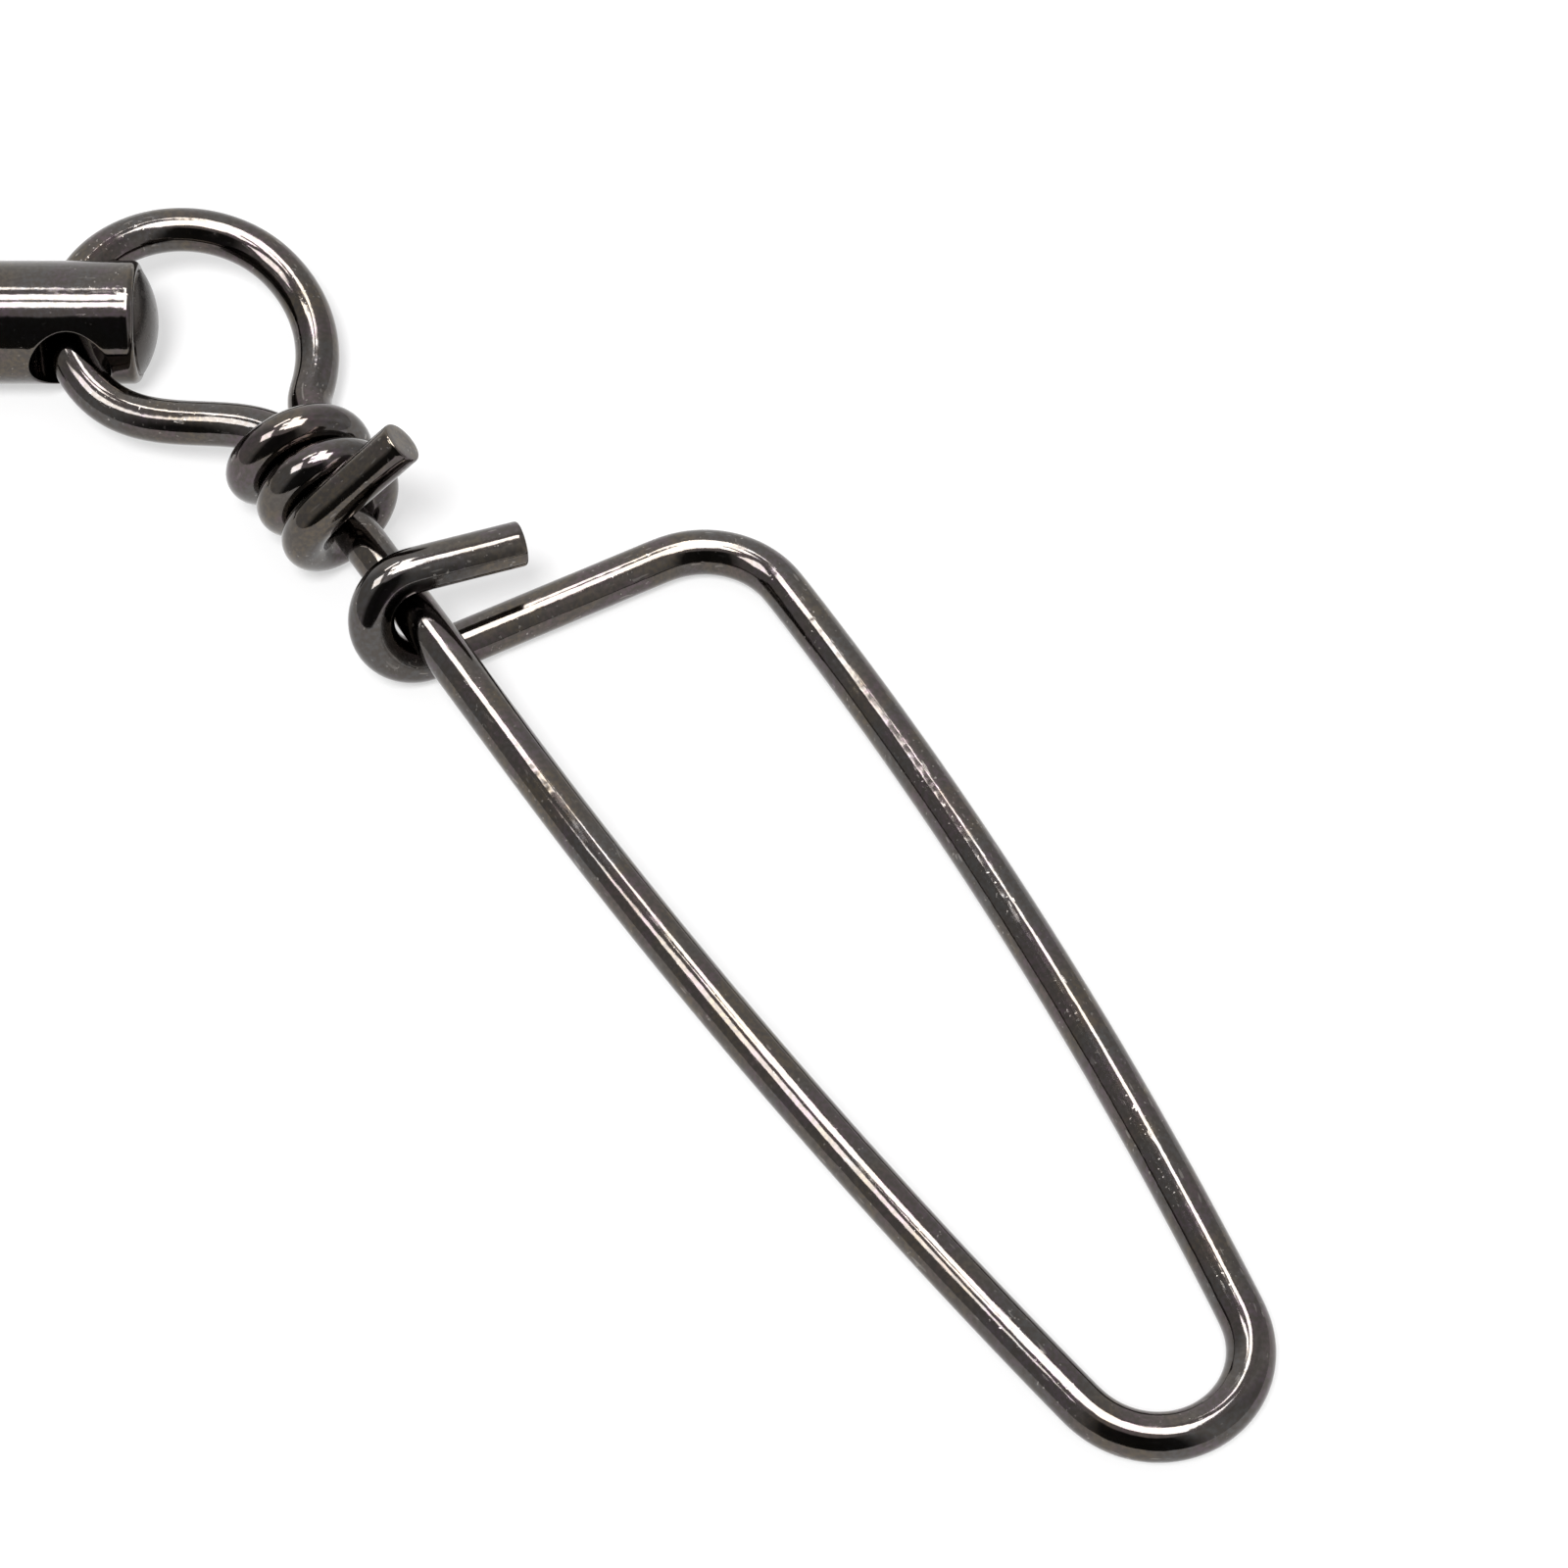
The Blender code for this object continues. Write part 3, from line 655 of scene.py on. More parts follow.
class SwivelPlan:
    """Places along the swivel's axis that follow from its sizes."""

    def __init__(self, snap, sizes):
        self.barrel_radius = BARREL_HEIGHT
        eye_exit = math.sqrt(snap.eye_radius ** 2 - self.barrel_radius ** 2)
        self.hole_radius = (snap.wire + snap.eye_radius - eye_exit + sizes.eye_slack) / 2
        self.tip = (snap.eye_radius + eye_exit) / 2 - sizes.tip_to_hole
        self.bushing_start = sizes.barrel_length - sizes.bushing_length
        self.washer_end = self.bushing_start - sizes.ball_play
        self.washer_start = self.washer_end - sizes.washer
        self.ball_place = self.washer_start - sizes.ball_play - sizes.ball / 2
        self.head_end = self.ball_place - sizes.ball / 2 - sizes.ball_play
        self.head_start = self.head_end - sizes.head
        self.bore_bottom = self.head_start - sizes.head_gap
        self.ball_circle = (sizes.bore + sizes.stem) / 4
        self.knob_start = sizes.barrel_length + sizes.knob_gap
        self.ring_radius = (sizes.ring - sizes.ring_wire) / 2
        ring_exit = math.sqrt(self.ring_radius ** 2 - (sizes.knob / 2) ** 2)
        ring_sag = self.ring_radius - ring_exit
        self.ring_hole_radius = (sizes.ring_wire + ring_sag + sizes.ring_slack) / 2
        self.ring_pivot = self.knob_start + sizes.knob_length / 2
        self.ring_centre = self.ring_radius - ring_sag / 2
        droop = (self.barrel_radius - sizes.ring_wire / 2) / (self.ring_centre + self.ring_radius)
        self.ring_droop = math.asin(droop)


def drilled_piece(name, before, after, radius, hole_place, hole_radius, rim, band, plan, material):
    """Make a turned piece with a round hole across it.

    The profile is turned about the axis, with a window left open on both sides of its
    straight wall. Each window is filled by rows that run from its edge to the hole's edge
    in place and angle, so that they stay on the wall. The rim is a quadratic curve from
    the wall into the hole, and straight lines join the two rims.
    """
    first, last = band
    band_places = np.linspace(first, last, WINDOW_ROWS + 1)
    wall = np.stack([band_places, np.full(WINDOW_ROWS + 1, radius)], axis=1)
    grid = turned_grid(np.vstack([before, wall, after]), TURNED_COLUMNS)
    faces = grid_faces(len(grid), TURNED_COLUMNS)
    face_row = faces[:, 0] // TURNED_COLUMNS
    face_column = faces[:, 0] % TURNED_COLUMNS
    in_band = (face_row >= len(before)) & (face_row < len(before) + WINDOW_ROWS)
    from_side = (face_column + WINDOW_HALF_COLUMNS) % (TURNED_COLUMNS // 2)
    faces = faces[~(in_band & (from_side < 2 * WINDOW_HALF_COLUMNS))]

    column_angle = 2 * math.pi / TURNED_COLUMNS
    steps = np.arange(-WINDOW_HALF_COLUMNS, WINDOW_HALF_COLUMNS) * column_angle
    edge = np.full(WINDOW_ROWS, WINDOW_HALF_COLUMNS * column_angle)
    side = np.ones(len(steps))
    along = np.concatenate([side * first, band_places[:-1], side * last, band_places[:0:-1]])
    about = np.concatenate([steps, edge, -steps, -edge])
    bearing = np.arctan2(radius * about, along - hole_place)

    def on_wall(size):
        """A place and angle on the wall, at a distance from the hole's axis."""
        return hole_place + size * np.cos(bearing), np.arcsin(size * np.sin(bearing) / radius)

    def as_points(place, turn):
        """The point of the wall at a place and angle."""
        return np.stack([place, radius * np.cos(turn), radius * np.sin(turn)], axis=-1)

    outer_place, outer_turn = on_wall(hole_radius + rim)
    share = (np.linspace(0.0, 1.0, FILL_ROWS) ** FILL_BUNCHING)[:, None]
    fill = as_points(along + share * (outer_place - along), about + share * (outer_turn - about))
    outer = fill[-1]
    corner = as_points(*on_wall(hole_radius))
    inner = corner - np.array([0.0, rim, 0.0])
    t = np.linspace(0.0, 1.0, RIM_ROWS)[1:, None, None]
    rounded = (1 - t) ** 2 * outer + 2 * t * (1 - t) * corner + t ** 2 * inner
    near = np.concatenate([fill, rounded])
    far = near[::-1] * np.array([1.0, -1.0, 1.0])
    depth = np.linspace(1.0, -1.0, TUNNEL_ROWS)[1:-1, None, None]
    through = inner * np.array([1.0, 0.0, 1.0]) + depth * inner * np.array([0.0, 1.0, 0.0])
    tunnel = np.concatenate([near, through, far])
    tunnel_faces = len(grid) * TURNED_COLUMNS + grid_faces(len(tunnel), len(about))
    local = np.vstack([grid.reshape(-1, 3), tunnel.reshape(-1, 3)])
    points = swivel_points(local, plan.tip)
    return add_piece(name, points, np.vstack([faces, tunnel_faces]), swivel_lay(local), material)


def turned_piece(name, profile, plan, material):
    """Make a piece by turning a closed profile about the swivel's axis."""
    grid = turned_grid(profile, TURNED_COLUMNS)
    faces = grid_faces(len(grid), TURNED_COLUMNS, round_rows=True)
    points = swivel_points(grid.reshape(-1, 3), plan.tip)
    return add_piece(name, points, faces, swivel_lay(grid), material)


class Graph:
    """The nodes of one material or of the world."""

    def __init__(self, tree):
        self.tree = tree
        tree.nodes.clear()

    def node(self, kind, settings=None, sockets=None):
        """Add a node: first its settings, then its sockets' values or links."""
        made = self.tree.nodes.new(kind)
        for name, value in (settings or {}).items():
            if name == "stops":
                ramp = made.color_ramp
                while len(ramp.elements) < len(value):
                    ramp.elements.new(1.0)
                for element, (position, level) in zip(ramp.elements, value):
                    element.position = position
                    element.color = (level, level, level, 1.0)
            else:
                setattr(made, name, value)
        for name, value in (sockets or {}).items():
            if isinstance(value, Value):
                self.tree.links.new(value.socket, made.inputs[name])
            else:
                made.inputs[name].default_value = value
        return made

    def value(self, kind, settings=None, sockets=None, output=0):
        """Add a node and return one of its outputs."""
        return Value(self, self.node(kind, settings, sockets).outputs[output])

    def noise(self, place, scale, detail):
        """Return soft noise at a place, with so many patches per unit."""
        return self.value("ShaderNodeTexNoise", None, {"Vector": place, "Scale": scale, "Detail": detail})

    def rise(self, value, low, high):
        """Return 0 below low and 1 above high, with a smooth step between."""
        settings = {"interpolation_type": "SMOOTHSTEP"}
        return self.value("ShaderNodeMapRange", settings, {0: value, 1: low, 2: high})

    def patches(self, place, shift, scale, detail, low, high):
        """Return soft patches: noise at a shifted place that rises from 0 at low to 1 at high."""
        return self.rise(self.noise(place + shift, scale, detail), low, high)

    def blend(self, factor, first, second):
        """Return a mix of two colours."""
        return self.value("ShaderNodeMix", {"data_type": "RGBA"}, {0: factor, 6: first, 7: second}, 2)


def as_vector(part):
    """Return a number as three of it, and anything else as it is."""
    return (part,) * 3 if isinstance(part, (int, float)) else part


class Value:
    """A node's output. Arithmetic on it adds a Math node, or a Vector Math node for a vector."""

    def __init__(self, graph, socket):
        self.graph = graph
        self.socket = socket

    def combine(self, operation, first, second):
        """Add the node for one operation on two values."""
        kind = "ShaderNodeMath"
        if self.socket.type == "VECTOR":
            kind = "ShaderNodeVectorMath"
            first = as_vector(first)
            second = as_vector(second)
        return self.graph.value(kind, {"operation": operation}, {0: first, 1: second})

    def __add__(self, other):
        return self.combine("ADD", self, other)

    def __radd__(self, other):
        return self.combine("ADD", other, self)

    def __sub__(self, other):
        return self.combine("SUBTRACT", self, other)

    def __rsub__(self, other):
        return self.combine("SUBTRACT", other, self)

    def __mul__(self, other):
        return self.combine("MULTIPLY", self, other)

    def __rmul__(self, other):
        return self.combine("MULTIPLY", other, self)

    def dot(self, other):
        """Return the dot product with a vector."""
        return self.graph.value("ShaderNodeVectorMath", {"operation": "DOT_PRODUCT"}, {0: self, 1: other}, 1)


def new_material(name):
    """Return an empty material and its graph."""
    material = bpy.data.materials.new(name)
    material.use_nodes = True
    return material, Graph(material.node_tree)


def close_material(graph, shader):
    """Join a shader to the material's output."""
    graph.node("ShaderNodeOutputMaterial", None, {"Surface": shader})


def close_metal(graph, colour_value, rough, height):
    """Join a metal's colour, roughness and relief in millimetres to the material's output."""
    bump = graph.value("ShaderNodeBump", None, {"Strength": 1.0, "Distance": MM, "Height": height})
    sockets = {"Base Color": colour_value, "Metallic": 1.0, "Roughness": rough, "Normal": bump}
    close_material(graph, graph.value("ShaderNodeBsdfPrincipled", None, sockets))


def opaque(colour_value):
    """Return a colour with its alpha."""
    return (*colour_value, 1.0)


def nickel(name, roughness, line_stretch, dull_shaded_end=0.0):
    """Return black nickel plating.

    Drawing or turning leaves fine lines, the polish leaves a slight waviness, and
    handling leaves specks and scratches where the plating is rubbed. The lines are
    noise on the stretched lay: they run along a wire, and round a turned piece.
    A turned piece can have an end, so many millimetres long, that is left dull and rougher, with its colour
    darkened there as painted shade.
    """
    existing = bpy.data.materials.get(name)
    if existing:
        return existing
    finish = bpy.context.scene.snap_finish
    material, graph = new_material(name)
    lay = graph.value("ShaderNodeAttribute", {"attribute_name": "lay"}, output=1) * MM_PER_METRE
    lines = graph.noise(lay * line_stretch, *LINE_NOISE)
    waves = graph.noise(lay, *WAVE_NOISE)
    fine_waves = graph.noise(lay * FINE_WAVE_STRETCH, *FINE_WAVE_NOISE)
    grain = graph.noise(lay, *GRAIN_NOISE)
    handled = graph.patches(lay, *HANDLED)
    specks = graph.patches(lay, *SPECKS) * handled
    scratches = graph.patches(lay * SCRATCH_STRETCH, *SCRATCHES) * handled
    scuffs = graph.patches(lay * SCUFF_STRETCH, *SCUFFS)
    tint = graph.patches(lay, *TINT)
    purple = graph.patches(lay, *PURPLE) * PURPLE_SHARE
    plating = graph.blend(tint, opaque(finish.warm_nickel), opaque(finish.cool_nickel))
    plating = graph.blend(purple, plating, opaque(finish.purple_nickel))
    pitted = graph.blend(graph.patches(lay, *UNPITTED), opaque(finish.pitted_nickel), plating)
    worn = specks * SPECK_WEAR + scratches * SCRATCH_WEAR
    colour_value = graph.blend(worn, pitted, opaque(finish.worn_nickel))
    rough = roughness + lines * LINE_ROUGHNESS + scuffs * SCUFF_ROUGHNESS + worn * WORN_ROUGHNESS
    rough = rough + (grain - 0.5) * GRAIN_ROUGHNESS
    # The cap's end is left rougher, and its colour is darkened there as painted shade
    if dull_shaded_end:
        place = lay.dot(THIRD_AXIS)
        dull_and_shaded = 1.0 - graph.rise(place, dull_shaded_end - DULL_SHADED_EDGE_BEFORE, dull_shaded_end + DULL_SHADED_EDGE_AFTER)
        colour_value = graph.blend(dull_and_shaded, colour_value, opaque(finish.painted_shade_cap_nickel))
        rough = rough + dull_and_shaded * DULL_ROUGHNESS
    height = lines * LINE_HEIGHT + waves * WAVE_HEIGHT + fine_waves * FINE_WAVE_HEIGHT
    height = height + fine_waves * handled * HANDLED_WAVE_HEIGHT + grain * GRAIN_HEIGHT
    height = height - specks * SPECK_DEPTH - scratches * SCRATCH_DEPTH
    close_metal(graph, colour_value, rough, height)
    return material


def ground_steel():
    """Return bare ground steel: fine grinding lines in its roughness and relief, and soft stains."""
    existing = bpy.data.materials.get("ground_steel")
    if existing:
        return existing
    finish = bpy.context.scene.snap_finish
    material, graph = new_material("ground_steel")
    place = graph.value("ShaderNodeTexCoord", output="Object") * MM_PER_METRE
    grinding = graph.noise(place * GRINDING_STRETCH, *GRINDING_NOISE)
    stained = graph.patches(place, *STAINED) * STAIN_SHARE
    shade = graph.blend(stained, opaque(finish.steel), opaque(finish.stained_steel))
    rough = STEEL_ROUGHNESS + grinding * GRINDING_ROUGHNESS
    close_metal(graph, shade, rough, grinding * GRINDING_HEIGHT)
    return material


class SNAP_OT_wire(bpy.types.Operator):
    """Build the snap from one length of round wire, with cut ends"""

    bl_idname = "snap.wire"
    bl_label = "Snap wire"

    def execute(self, context):
        sizes = context.scene.snap_sizes
        line = even_points(SnapPath(sizes).points(), WIRE_STEP)
        line = softened(line, WIRE_STEP, WIRE_SOFTENING)
        along, first, second = carried_frames(line)
        distance = travelled(line)
        whole = np.flatnonzero((distance > CUT_LENGTH) & (distance < distance[-1] - CUT_LENGTH))
        start = np.zeros(len(CUT_DEPTHS), dtype=int)
        rows = np.concatenate([start, whole, start + len(line) - 1])
        inset = np.concatenate([CUT_DEPTHS[::-1], np.zeros(len(whole)), -CUT_DEPTHS])
        share = np.concatenate([CUT_SHARES[::-1], np.ones(len(whole)), CUT_SHARES])
        centre = line[rows] + along[rows] * inset[:, None]
        place_along = (distance[rows] + inset)[:, None]
        about = full_turn(WIRE_SIDES)
        x = sizes.wire / 2 * share[:, None] * np.cos(about)
        y = sizes.wire / 2 * share[:, None] * np.sin(about)
        points = centre[:, None] + x[..., None] * first[rows][:, None] + y[..., None] * second[rows][:, None]
        lay = np.stack([x, y, np.broadcast_to(place_along, x.shape)], axis=-1)
        faces = grid_faces(len(rows), WIRE_SIDES)
        material = nickel("drawn_black_nickel", context.scene.snap_finish.polish, DRAWN_LINES)
        piece = add_piece("snap_round_wire", points.reshape(-1, 3), faces, lay.reshape(-1, 3), material)
        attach(piece, "snap")
        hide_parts("snap_wire")
        return {"FINISHED"}


class SNAP_OT_barrel(bpy.types.Operator):
    """Build the barrel: domed cap, seam, shoulder, cross drilled wall and bore"""

    bl_idname = "snap.barrel"
    bl_label = "Swivel barrel"

    def execute(self, context):
        sizes = context.scene.swivel_sizes
        plan = SwivelPlan(context.scene.snap_sizes, sizes)
        radius = plan.barrel_radius
        cap_radius = radius - sizes.shoulder_radius
        cap_depth = sizes.shoulder_length - sizes.shoulder_radius
        dome_radius = (cap_radius ** 2 + cap_depth ** 2) / (2 * cap_depth)
        dome_edge = math.asin((cap_radius - sizes.seam_width) / dome_radius)
        dome_angles = np.linspace(0.0, dome_edge, DOME_ROWS)
        dome = np.stack([dome_radius * (1 - np.cos(dome_angles)), dome_radius * np.sin(dome_angles)], axis=1)
        seam = np.array([[cap_depth + sizes.seam_depth, cap_radius - sizes.seam_width / 2]])
        shoulder = rounding(sizes.shoulder_length, cap_radius, sizes.shoulder_radius, 0.0, 90.0)
        end = sizes.barrel_length
        rim = sizes.edge_break
        bore_radius = sizes.bore / 2
        reach = np.array([[end - PLAIN_WALL_START - rim, 0.0]])
        outside = np.linspace(0.0, 1.0, WALL_ROWS)[1:, None] * reach
        outside = outside + np.array([[PLAIN_WALL_START, radius]])
        inside = np.array(
            [
                [end, radius - rim],
                [end, bore_radius + rim / 2],
                [end - rim / 2, bore_radius],
                [plan.bore_bottom, bore_radius],
                [plan.bore_bottom, 0.0],
            ]
        )
        polish = context.scene.snap_finish.polish
        piece = drilled_piece(
            "barrel_shell",
            np.vstack([dome, seam, shoulder]),
            np.vstack([outside, inside]),
            radius,
            sizes.tip_to_hole,
            plan.hole_radius,
            sizes.rim_break,
            (sizes.shoulder_length + WINDOW_MARGIN, WINDOW_END),
            plan,
            # The cap up to its seam is rougher and carries painted shade in its colour
            nickel("tumbled_black_nickel", polish, TURNED_LINES, cap_depth / MM),
        )
        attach(piece, "barrel")
        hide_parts("swivel_barrel")
        return {"FINISHED"}


class SNAP_OT_bearing(bpy.types.Operator):
    """Build the bushing, the thrust washer and the ring of balls"""

    bl_idname = "snap.bearing"
    bl_label = "Bearing"

    def execute(self, context):
        sizes = context.scene.swivel_sizes
        plan = SwivelPlan(context.scene.snap_sizes, sizes)
        bore_radius = sizes.bore / 2
        inner = sizes.stem / 2 + sizes.stem_play
        outer = bore_radius - sizes.bushing_fit
        end = sizes.barrel_length
        groove = 0.5 * (inner + bore_radius)
        bushing = np.array(
            [
                [plan.bushing_start, inner],
                [plan.bushing_start, outer],
                [end, outer],
                [end, groove + GROOVE_HALF_TOP],
                [end - GROOVE_DEPTH, groove + GROOVE_HALF_BOTTOM],
                [end - GROOVE_DEPTH, groove - GROOVE_HALF_BOTTOM],
                [end, groove - GROOVE_HALF_TOP],
                [end, inner],
            ]
        )
        satin = nickel("turned_black_nickel", context.scene.snap_finish.satin, TURNED_LINES)
        bushing_piece = turned_piece("bushing_turned", bevelled(bushing, BUSHING_BEVEL), plan, satin)
        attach(bushing_piece, "barrel")
        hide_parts("end_bushing")

        steel = ground_steel()
        outer = bore_radius - sizes.washer_play
        washer = np.array(
            [
                [plan.washer_start, inner],
                [plan.washer_start, outer],
                [plan.washer_end, outer],
                [plan.washer_end, inner],
            ]
        )
        washer_piece = turned_piece("washer_ground", bevelled(washer, WASHER_BEVEL), plan, steel)
        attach(washer_piece, "barrel")
        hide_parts("thrust_washer")

        half_turn = np.linspace(0.0, math.pi, BALL_ROWS)
        radius = sizes.ball / 2
        profile = np.stack([-radius * np.cos(half_turn), radius * np.sin(half_turn)], axis=1)
        ball = turned_grid(profile, BALL_COLUMNS).reshape(-1, 3)
        faces = grid_faces(BALL_ROWS, BALL_COLUMNS)
        for number in range(sizes.ball_count):
            about = 2 * math.pi * number / sizes.ball_count
            across = plan.ball_circle * math.cos(about)
            above = plan.ball_circle * math.sin(about)
            local = ball + np.array([plan.ball_place, across, above])
            points = swivel_points(local, plan.tip)
            name = f"bearing_ball_{number + 1}"
            piece = add_piece(f"polished_ball_{number + 1}", points, faces, swivel_lay(local), steel)
            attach(piece, "ball_row")
            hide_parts(name)
        return {"FINISHED"}


class SNAP_OT_stem(bpy.types.Operator):
    """Build the stem: its head in the bore, its shaft and its cross drilled knob"""

    bl_idname = "snap.stem"
    bl_label = "Stem"

    def execute(self, context):
        sizes = context.scene.swivel_sizes
        plan = SwivelPlan(context.scene.snap_sizes, sizes)
        head_radius = sizes.bore / 2 - sizes.head_play
        shaft_radius = sizes.stem / 2
        knob_radius = sizes.knob / 2
        knob_end = plan.knob_start + sizes.knob_length
        size = sizes.knob_rounding
        rim = sizes.edge_break
        near = rounding(plan.knob_start + size, knob_radius - size, size, 0.0, 90.0)
        far = rounding(knob_end - size, knob_radius - size, size, 90.0, 180.0)
        head = np.array(
            [
                [plan.head_start, 0.0],
                [plan.head_start, head_radius - rim],
                [plan.head_start + rim, head_radius],
                [plan.head_end - rim, head_radius],
                [plan.head_end, head_radius - rim],
                [plan.head_end, shaft_radius],
                [plan.knob_start, shaft_radius],
            ]
        )
        half_band = knob_end - size - plan.ring_pivot - KNOB_WINDOW_MARGIN
        piece = drilled_piece(
            "stem_turned",
            np.vstack([head, near]),
            np.vstack([far, [[knob_end, 0.0]]]),
            knob_radius,
            plan.ring_pivot,
            plan.ring_hole_radius,
            sizes.rim_break,
            (plan.ring_pivot - half_band, plan.ring_pivot + half_band),
            plan,
            nickel("turned_black_nickel", context.scene.snap_finish.satin, TURNED_LINES),
        )
        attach(piece, "stem")
        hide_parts("swivel_stem")
        return {"FINISHED"}


class SNAP_OT_ring(bpy.types.Operator):
    """Build the line ring: a round wire closed on itself, with its weld"""

    bl_idname = "snap.ring"
    bl_label = "Line ring"

    def execute(self, context):
        sizes = context.scene.swivel_sizes
        plan = SwivelPlan(context.scene.snap_sizes, sizes)
        around = full_turn(RING_ROWS)
        about = full_turn(WIRE_SIDES)
        from_weld = np.abs(np.angle(np.exp(1j * (around - math.radians(WELD_ANGLE))))) * plan.ring_radius
        swelling = 1.0 + WELD_SWELLING * np.exp(-((from_weld / WELD_REACH) ** 2))
        wire_radius = sizes.ring_wire / 2 * swelling[:, None]
        across = wire_radius * np.cos(about)
        x = (plan.ring_radius + across) * np.cos(around)[:, None]
        y = (plan.ring_radius + across) * np.sin(around)[:, None]
        z = wire_radius * np.sin(about)
        cosine = math.cos(plan.ring_droop)
        sine = math.sin(plan.ring_droop)
        reach = x + plan.ring_centre
        place = plan.ring_pivot + reach * cosine + z * sine
        above = z * cosine - reach * sine
        local = np.stack([place, y, above], axis=-1).reshape(-1, 3)
        lengthwise = np.broadcast_to((plan.ring_radius * around)[:, None], x.shape)
        lay = np.stack([across, z, lengthwise], axis=-1).reshape(-1, 3)
        faces = grid_faces(RING_ROWS, WIRE_SIDES, round_rows=True)
        material = nickel("drawn_black_nickel", context.scene.snap_finish.polish, DRAWN_LINES)
        piece = add_piece("welded_ring", swivel_points(local, plan.tip), faces, lay, material)
        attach(piece, "ring")
        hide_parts("line_ring")
        return {"FINISHED"}


class SNAP_OT_stage(bpy.types.Operator):
    """Set up the camera, the pale floor, the soft lamps and the surroundings"""

    bl_idname = "snap.stage"
    bl_label = "Stage"

    def execute(self, context):
        stage = context.scene.snap_stage
        self.right = Vector((math.cos(stage.azimuth), math.sin(stage.azimuth), 0.0))
        self.away = Vector((-math.sin(stage.azimuth), math.cos(stage.azimuth), 0.0))
        self.aim = Vector((stage.aim_x, stage.aim_y, 0.0))
        self.add_camera(context, stage)
        self.add_floor(stage)
        for panel in OVERHEAD_PANELS:
            self.add_lamp(*panel, stage.overhead)
        self.add_lamp(*SIDE_PANEL, stage.side)
        self.add_sun(stage.sun)
        self.add_surroundings(context)
        context.scene.view_settings.view_transform = "Standard"
        return {"FINISHED"}

    def towards(self, x, y, z):
        """The direction so far to the picture's right, so far away from the camera, and so far up."""
        return self.right * x + self.away * y + Vector((0.0, 0.0, z))

    def turn_along(self, thing, direction, axis):
        """Turn a camera or lamp until its axis lies along a direction."""
        thing.rotation_mode = "QUATERNION"
        thing.rotation_quaternion = direction.to_track_quat(axis, "Y")

    def add_camera(self, context, stage):
        """Look at the picture's middle from the photograph's direction."""
        back = self.towards(0.0, -math.cos(stage.elevation), math.sin(stage.elevation))
        data = bpy.data.cameras.new("camera")
        data.lens = stage.lens
        data.sensor_width = SENSOR_WIDTH
        data.clip_start = CLIP_START
        data.clip_end = CLIP_END
        camera = new_object("camera", data)
        camera.location = self.aim + back * stage.distance
        self.turn_along(camera, -back, "-Z")
        context.scene.camera = camera

    def add_floor(self, stage):
        """A plain disc under the model. It shows part of its light as plain white."""
        rings = np.linspace(0.0, FLOOR_RADIUS, FLOOR_RINGS)[1:, None]
        about = full_turn(FLOOR_COLUMNS)
        low = float(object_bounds()[0][2])
        x = rings * np.cos(about)
        y = rings * np.sin(about)
        points = np.stack([x, y, np.full(x.shape, low)], axis=-1).reshape(-1, 3)
        faces = grid_faces(len(rings), FLOOR_COLUMNS).tolist()
        faces += [(len(points), k, (k + 1) % FLOOR_COLUMNS) for k in range(FLOOR_COLUMNS)]
        mesh = bpy.data.meshes.new("floor")
        mesh.from_pydata(points.tolist() + [[0.0, 0.0, low]], [], faces)
        material, graph = new_material("pale_floor")
        camera_ray = graph.value("ShaderNodeLightPath", output="Is Camera Ray")
        glossy_ray = graph.value("ShaderNodeLightPath", output="Is Glossy Ray")
        lift = (camera_ray + glossy_ray) * stage.floor_lift
        matte = graph.value("ShaderNodeBsdfDiffuse", None, {"Color": opaque(stage.floor)})
        white = graph.value("ShaderNodeEmission", None, {"Color": WHITE, "Strength": 1.0})
        close_material(graph, graph.value("ShaderNodeMixShader", None, {0: lift, 1: matte, 2: white}))
        mesh.materials.append(material)
        new_object("floor", mesh)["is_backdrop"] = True

    def add_lamp(self, name, x, y, width, depth, turned, brightness):
        """A level softbox that faces down, with its brightness as seen. The floor isn't lit by it.

        Its place from the picture's middle and its size are multiples of its height, and
        it is turned about the upright axis.
        """
        data = bpy.data.lights.new(name, "AREA")
        data.shape = "RECTANGLE"
        data.size = width * LAMP_HEIGHT
        data.size_y = depth * LAMP_HEIGHT
        data.energy = brightness * math.pi * data.size * data.size_y
        lamp = new_object(name, data)
        lamp.visible_camera = False
        lamp.visible_diffuse = False
        lamp.location = self.aim + self.towards(x, y, 1.0) * LAMP_HEIGHT
        lamp.rotation_euler = (0.0, 0.0, bpy.context.scene.snap_stage.azimuth + math.radians(turned))

    def add_sun(self, strength):
        """A soft sun, a little to the upper left of the camera. The metal doesn't mirror it."""
        data = bpy.data.lights.new("sun", "SUN")
        data.energy = strength
        data.angle = math.radians(SUN_SPREAD)
        sun = new_object("sun", data)
        sun.visible_glossy = False
        direction = self.towards(*SUN_DIRECTION).normalized()
        sun.location = self.aim + direction * LAMP_HEIGHT
        self.turn_along(sun, direction, "Z")

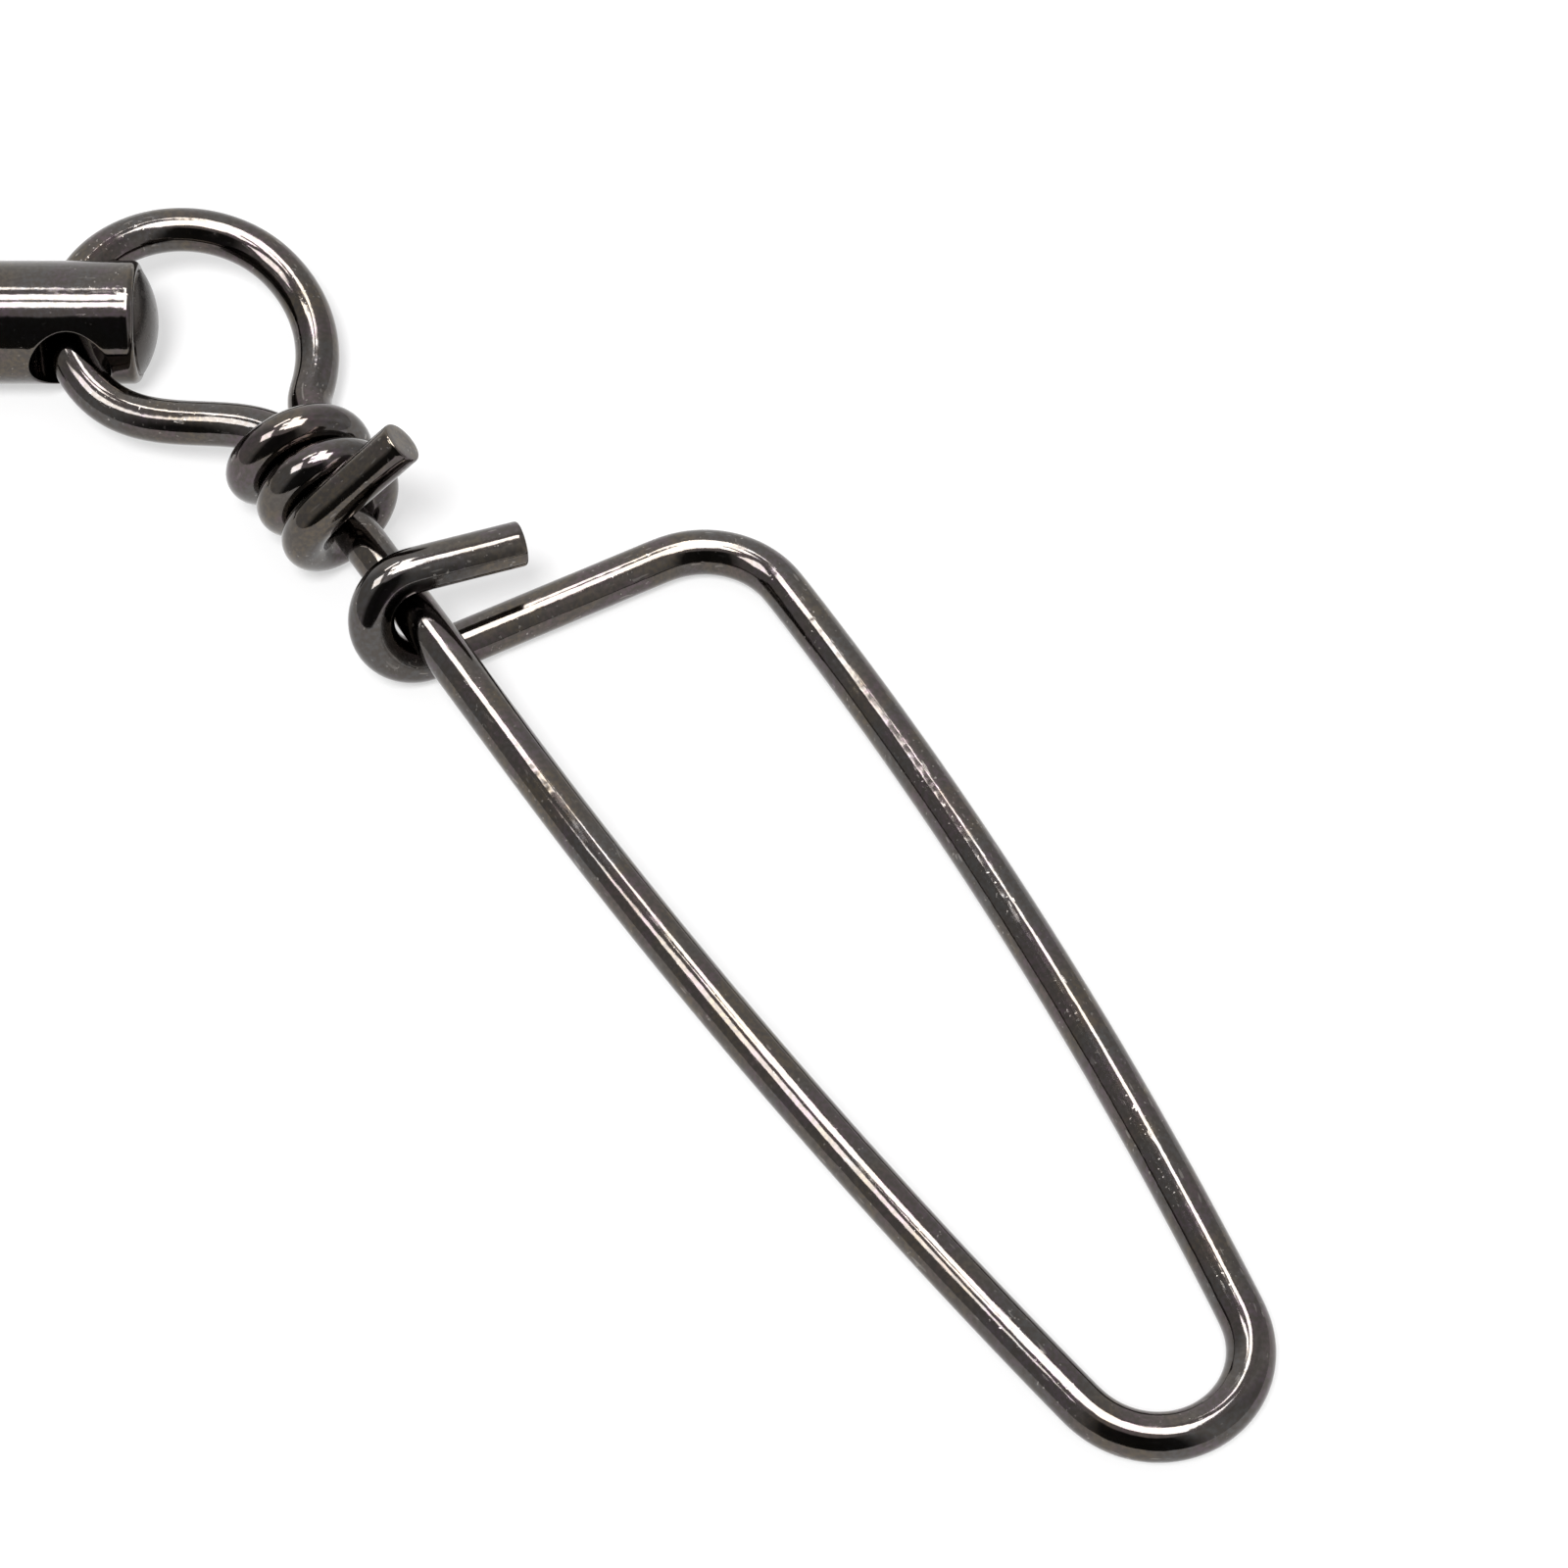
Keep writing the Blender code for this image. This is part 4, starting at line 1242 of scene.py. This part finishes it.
    def add_surroundings(self, context):
        """A room seen in the metal: pale behind, darker at the sides, dark towards the camera."""
        world = bpy.data.worlds.new("room")
        world.use_nodes = True
        context.scene.world = world
        graph = Graph(world.node_tree)
        direction = graph.value("ShaderNodeTexCoord", output="Generated")
        x = direction.dot(tuple(self.right))
        y = direction.dot(tuple(self.away))
        z = direction.dot(THIRD_AXIS)
        turn = graph.value("ShaderNodeMath", {"operation": "ARCTAN2"}, {0: x, 1: y})
        turn_share = turn * (0.5 / math.pi) + 0.5
        walls = graph.value("ShaderNodeValToRGB", {"stops": WALL_STOPS}, {"Fac": turn_share})
        room = graph.blend(graph.rise(z, CEILING_START, CEILING_FULL), walls, CEILING)
        seen = graph.value("ShaderNodeLightPath", output="Is Camera Ray")
        sockets = {"Color": graph.blend(seen, room, WHITE), "Strength": 1.0}
        background = graph.value("ShaderNodeBackground", None, sockets)
        graph.node("ShaderNodeOutputWorld", None, {"Surface": background})


class SNAP_PT_panel(bpy.types.Panel):
    """Lists the pieces of the snap swivel and its stage."""

    bl_idname = "SNAP_PT_panel"
    bl_label = "Snap Swivel"
    bl_space_type = "VIEW_3D"
    bl_region_type = "UI"
    bl_category = "Snap Swivel"

    def draw(self, context):
        column = self.layout.column(align=True)
        for operator in OPERATORS:
            column.operator(operator.bl_idname)


OPERATORS = (SNAP_OT_wire, SNAP_OT_barrel, SNAP_OT_bearing, SNAP_OT_stem, SNAP_OT_ring, SNAP_OT_stage)
SETTINGS = {
    "snap_sizes": SnapSizes,
    "swivel_sizes": SwivelSizes,
    "snap_finish": FinishSettings,
    "snap_stage": StageSettings,
}
CLASSES = (*SETTINGS.values(), *OPERATORS, SNAP_PT_panel)


def register():
    """Register the classes and hang the settings on the scene."""
    for kind in CLASSES:
        bpy.utils.register_class(kind)
    for name, kind in SETTINGS.items():
        setattr(bpy.types.Scene, name, PointerProperty(type=kind))


def unregister():
    """Take the settings and classes away again."""
    for name in SETTINGS:
        delattr(bpy.types.Scene, name)
    for kind in reversed(CLASSES):
        bpy.utils.unregister_class(kind)


def corners():
    """Return the shown object's lowest and highest corners as plain numbers."""
    return [[float(value) for value in corner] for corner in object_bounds()]


def main():
    """Build every piece in order."""
    register()
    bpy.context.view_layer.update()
    bpy.ops.snap.wire()
    bpy.ops.snap.barrel()
    bpy.ops.snap.bearing()
    bpy.ops.snap.stem()
    bpy.ops.snap.ring()
    bpy.ops.snap.stage()


if __name__ == "__main__":
    main()
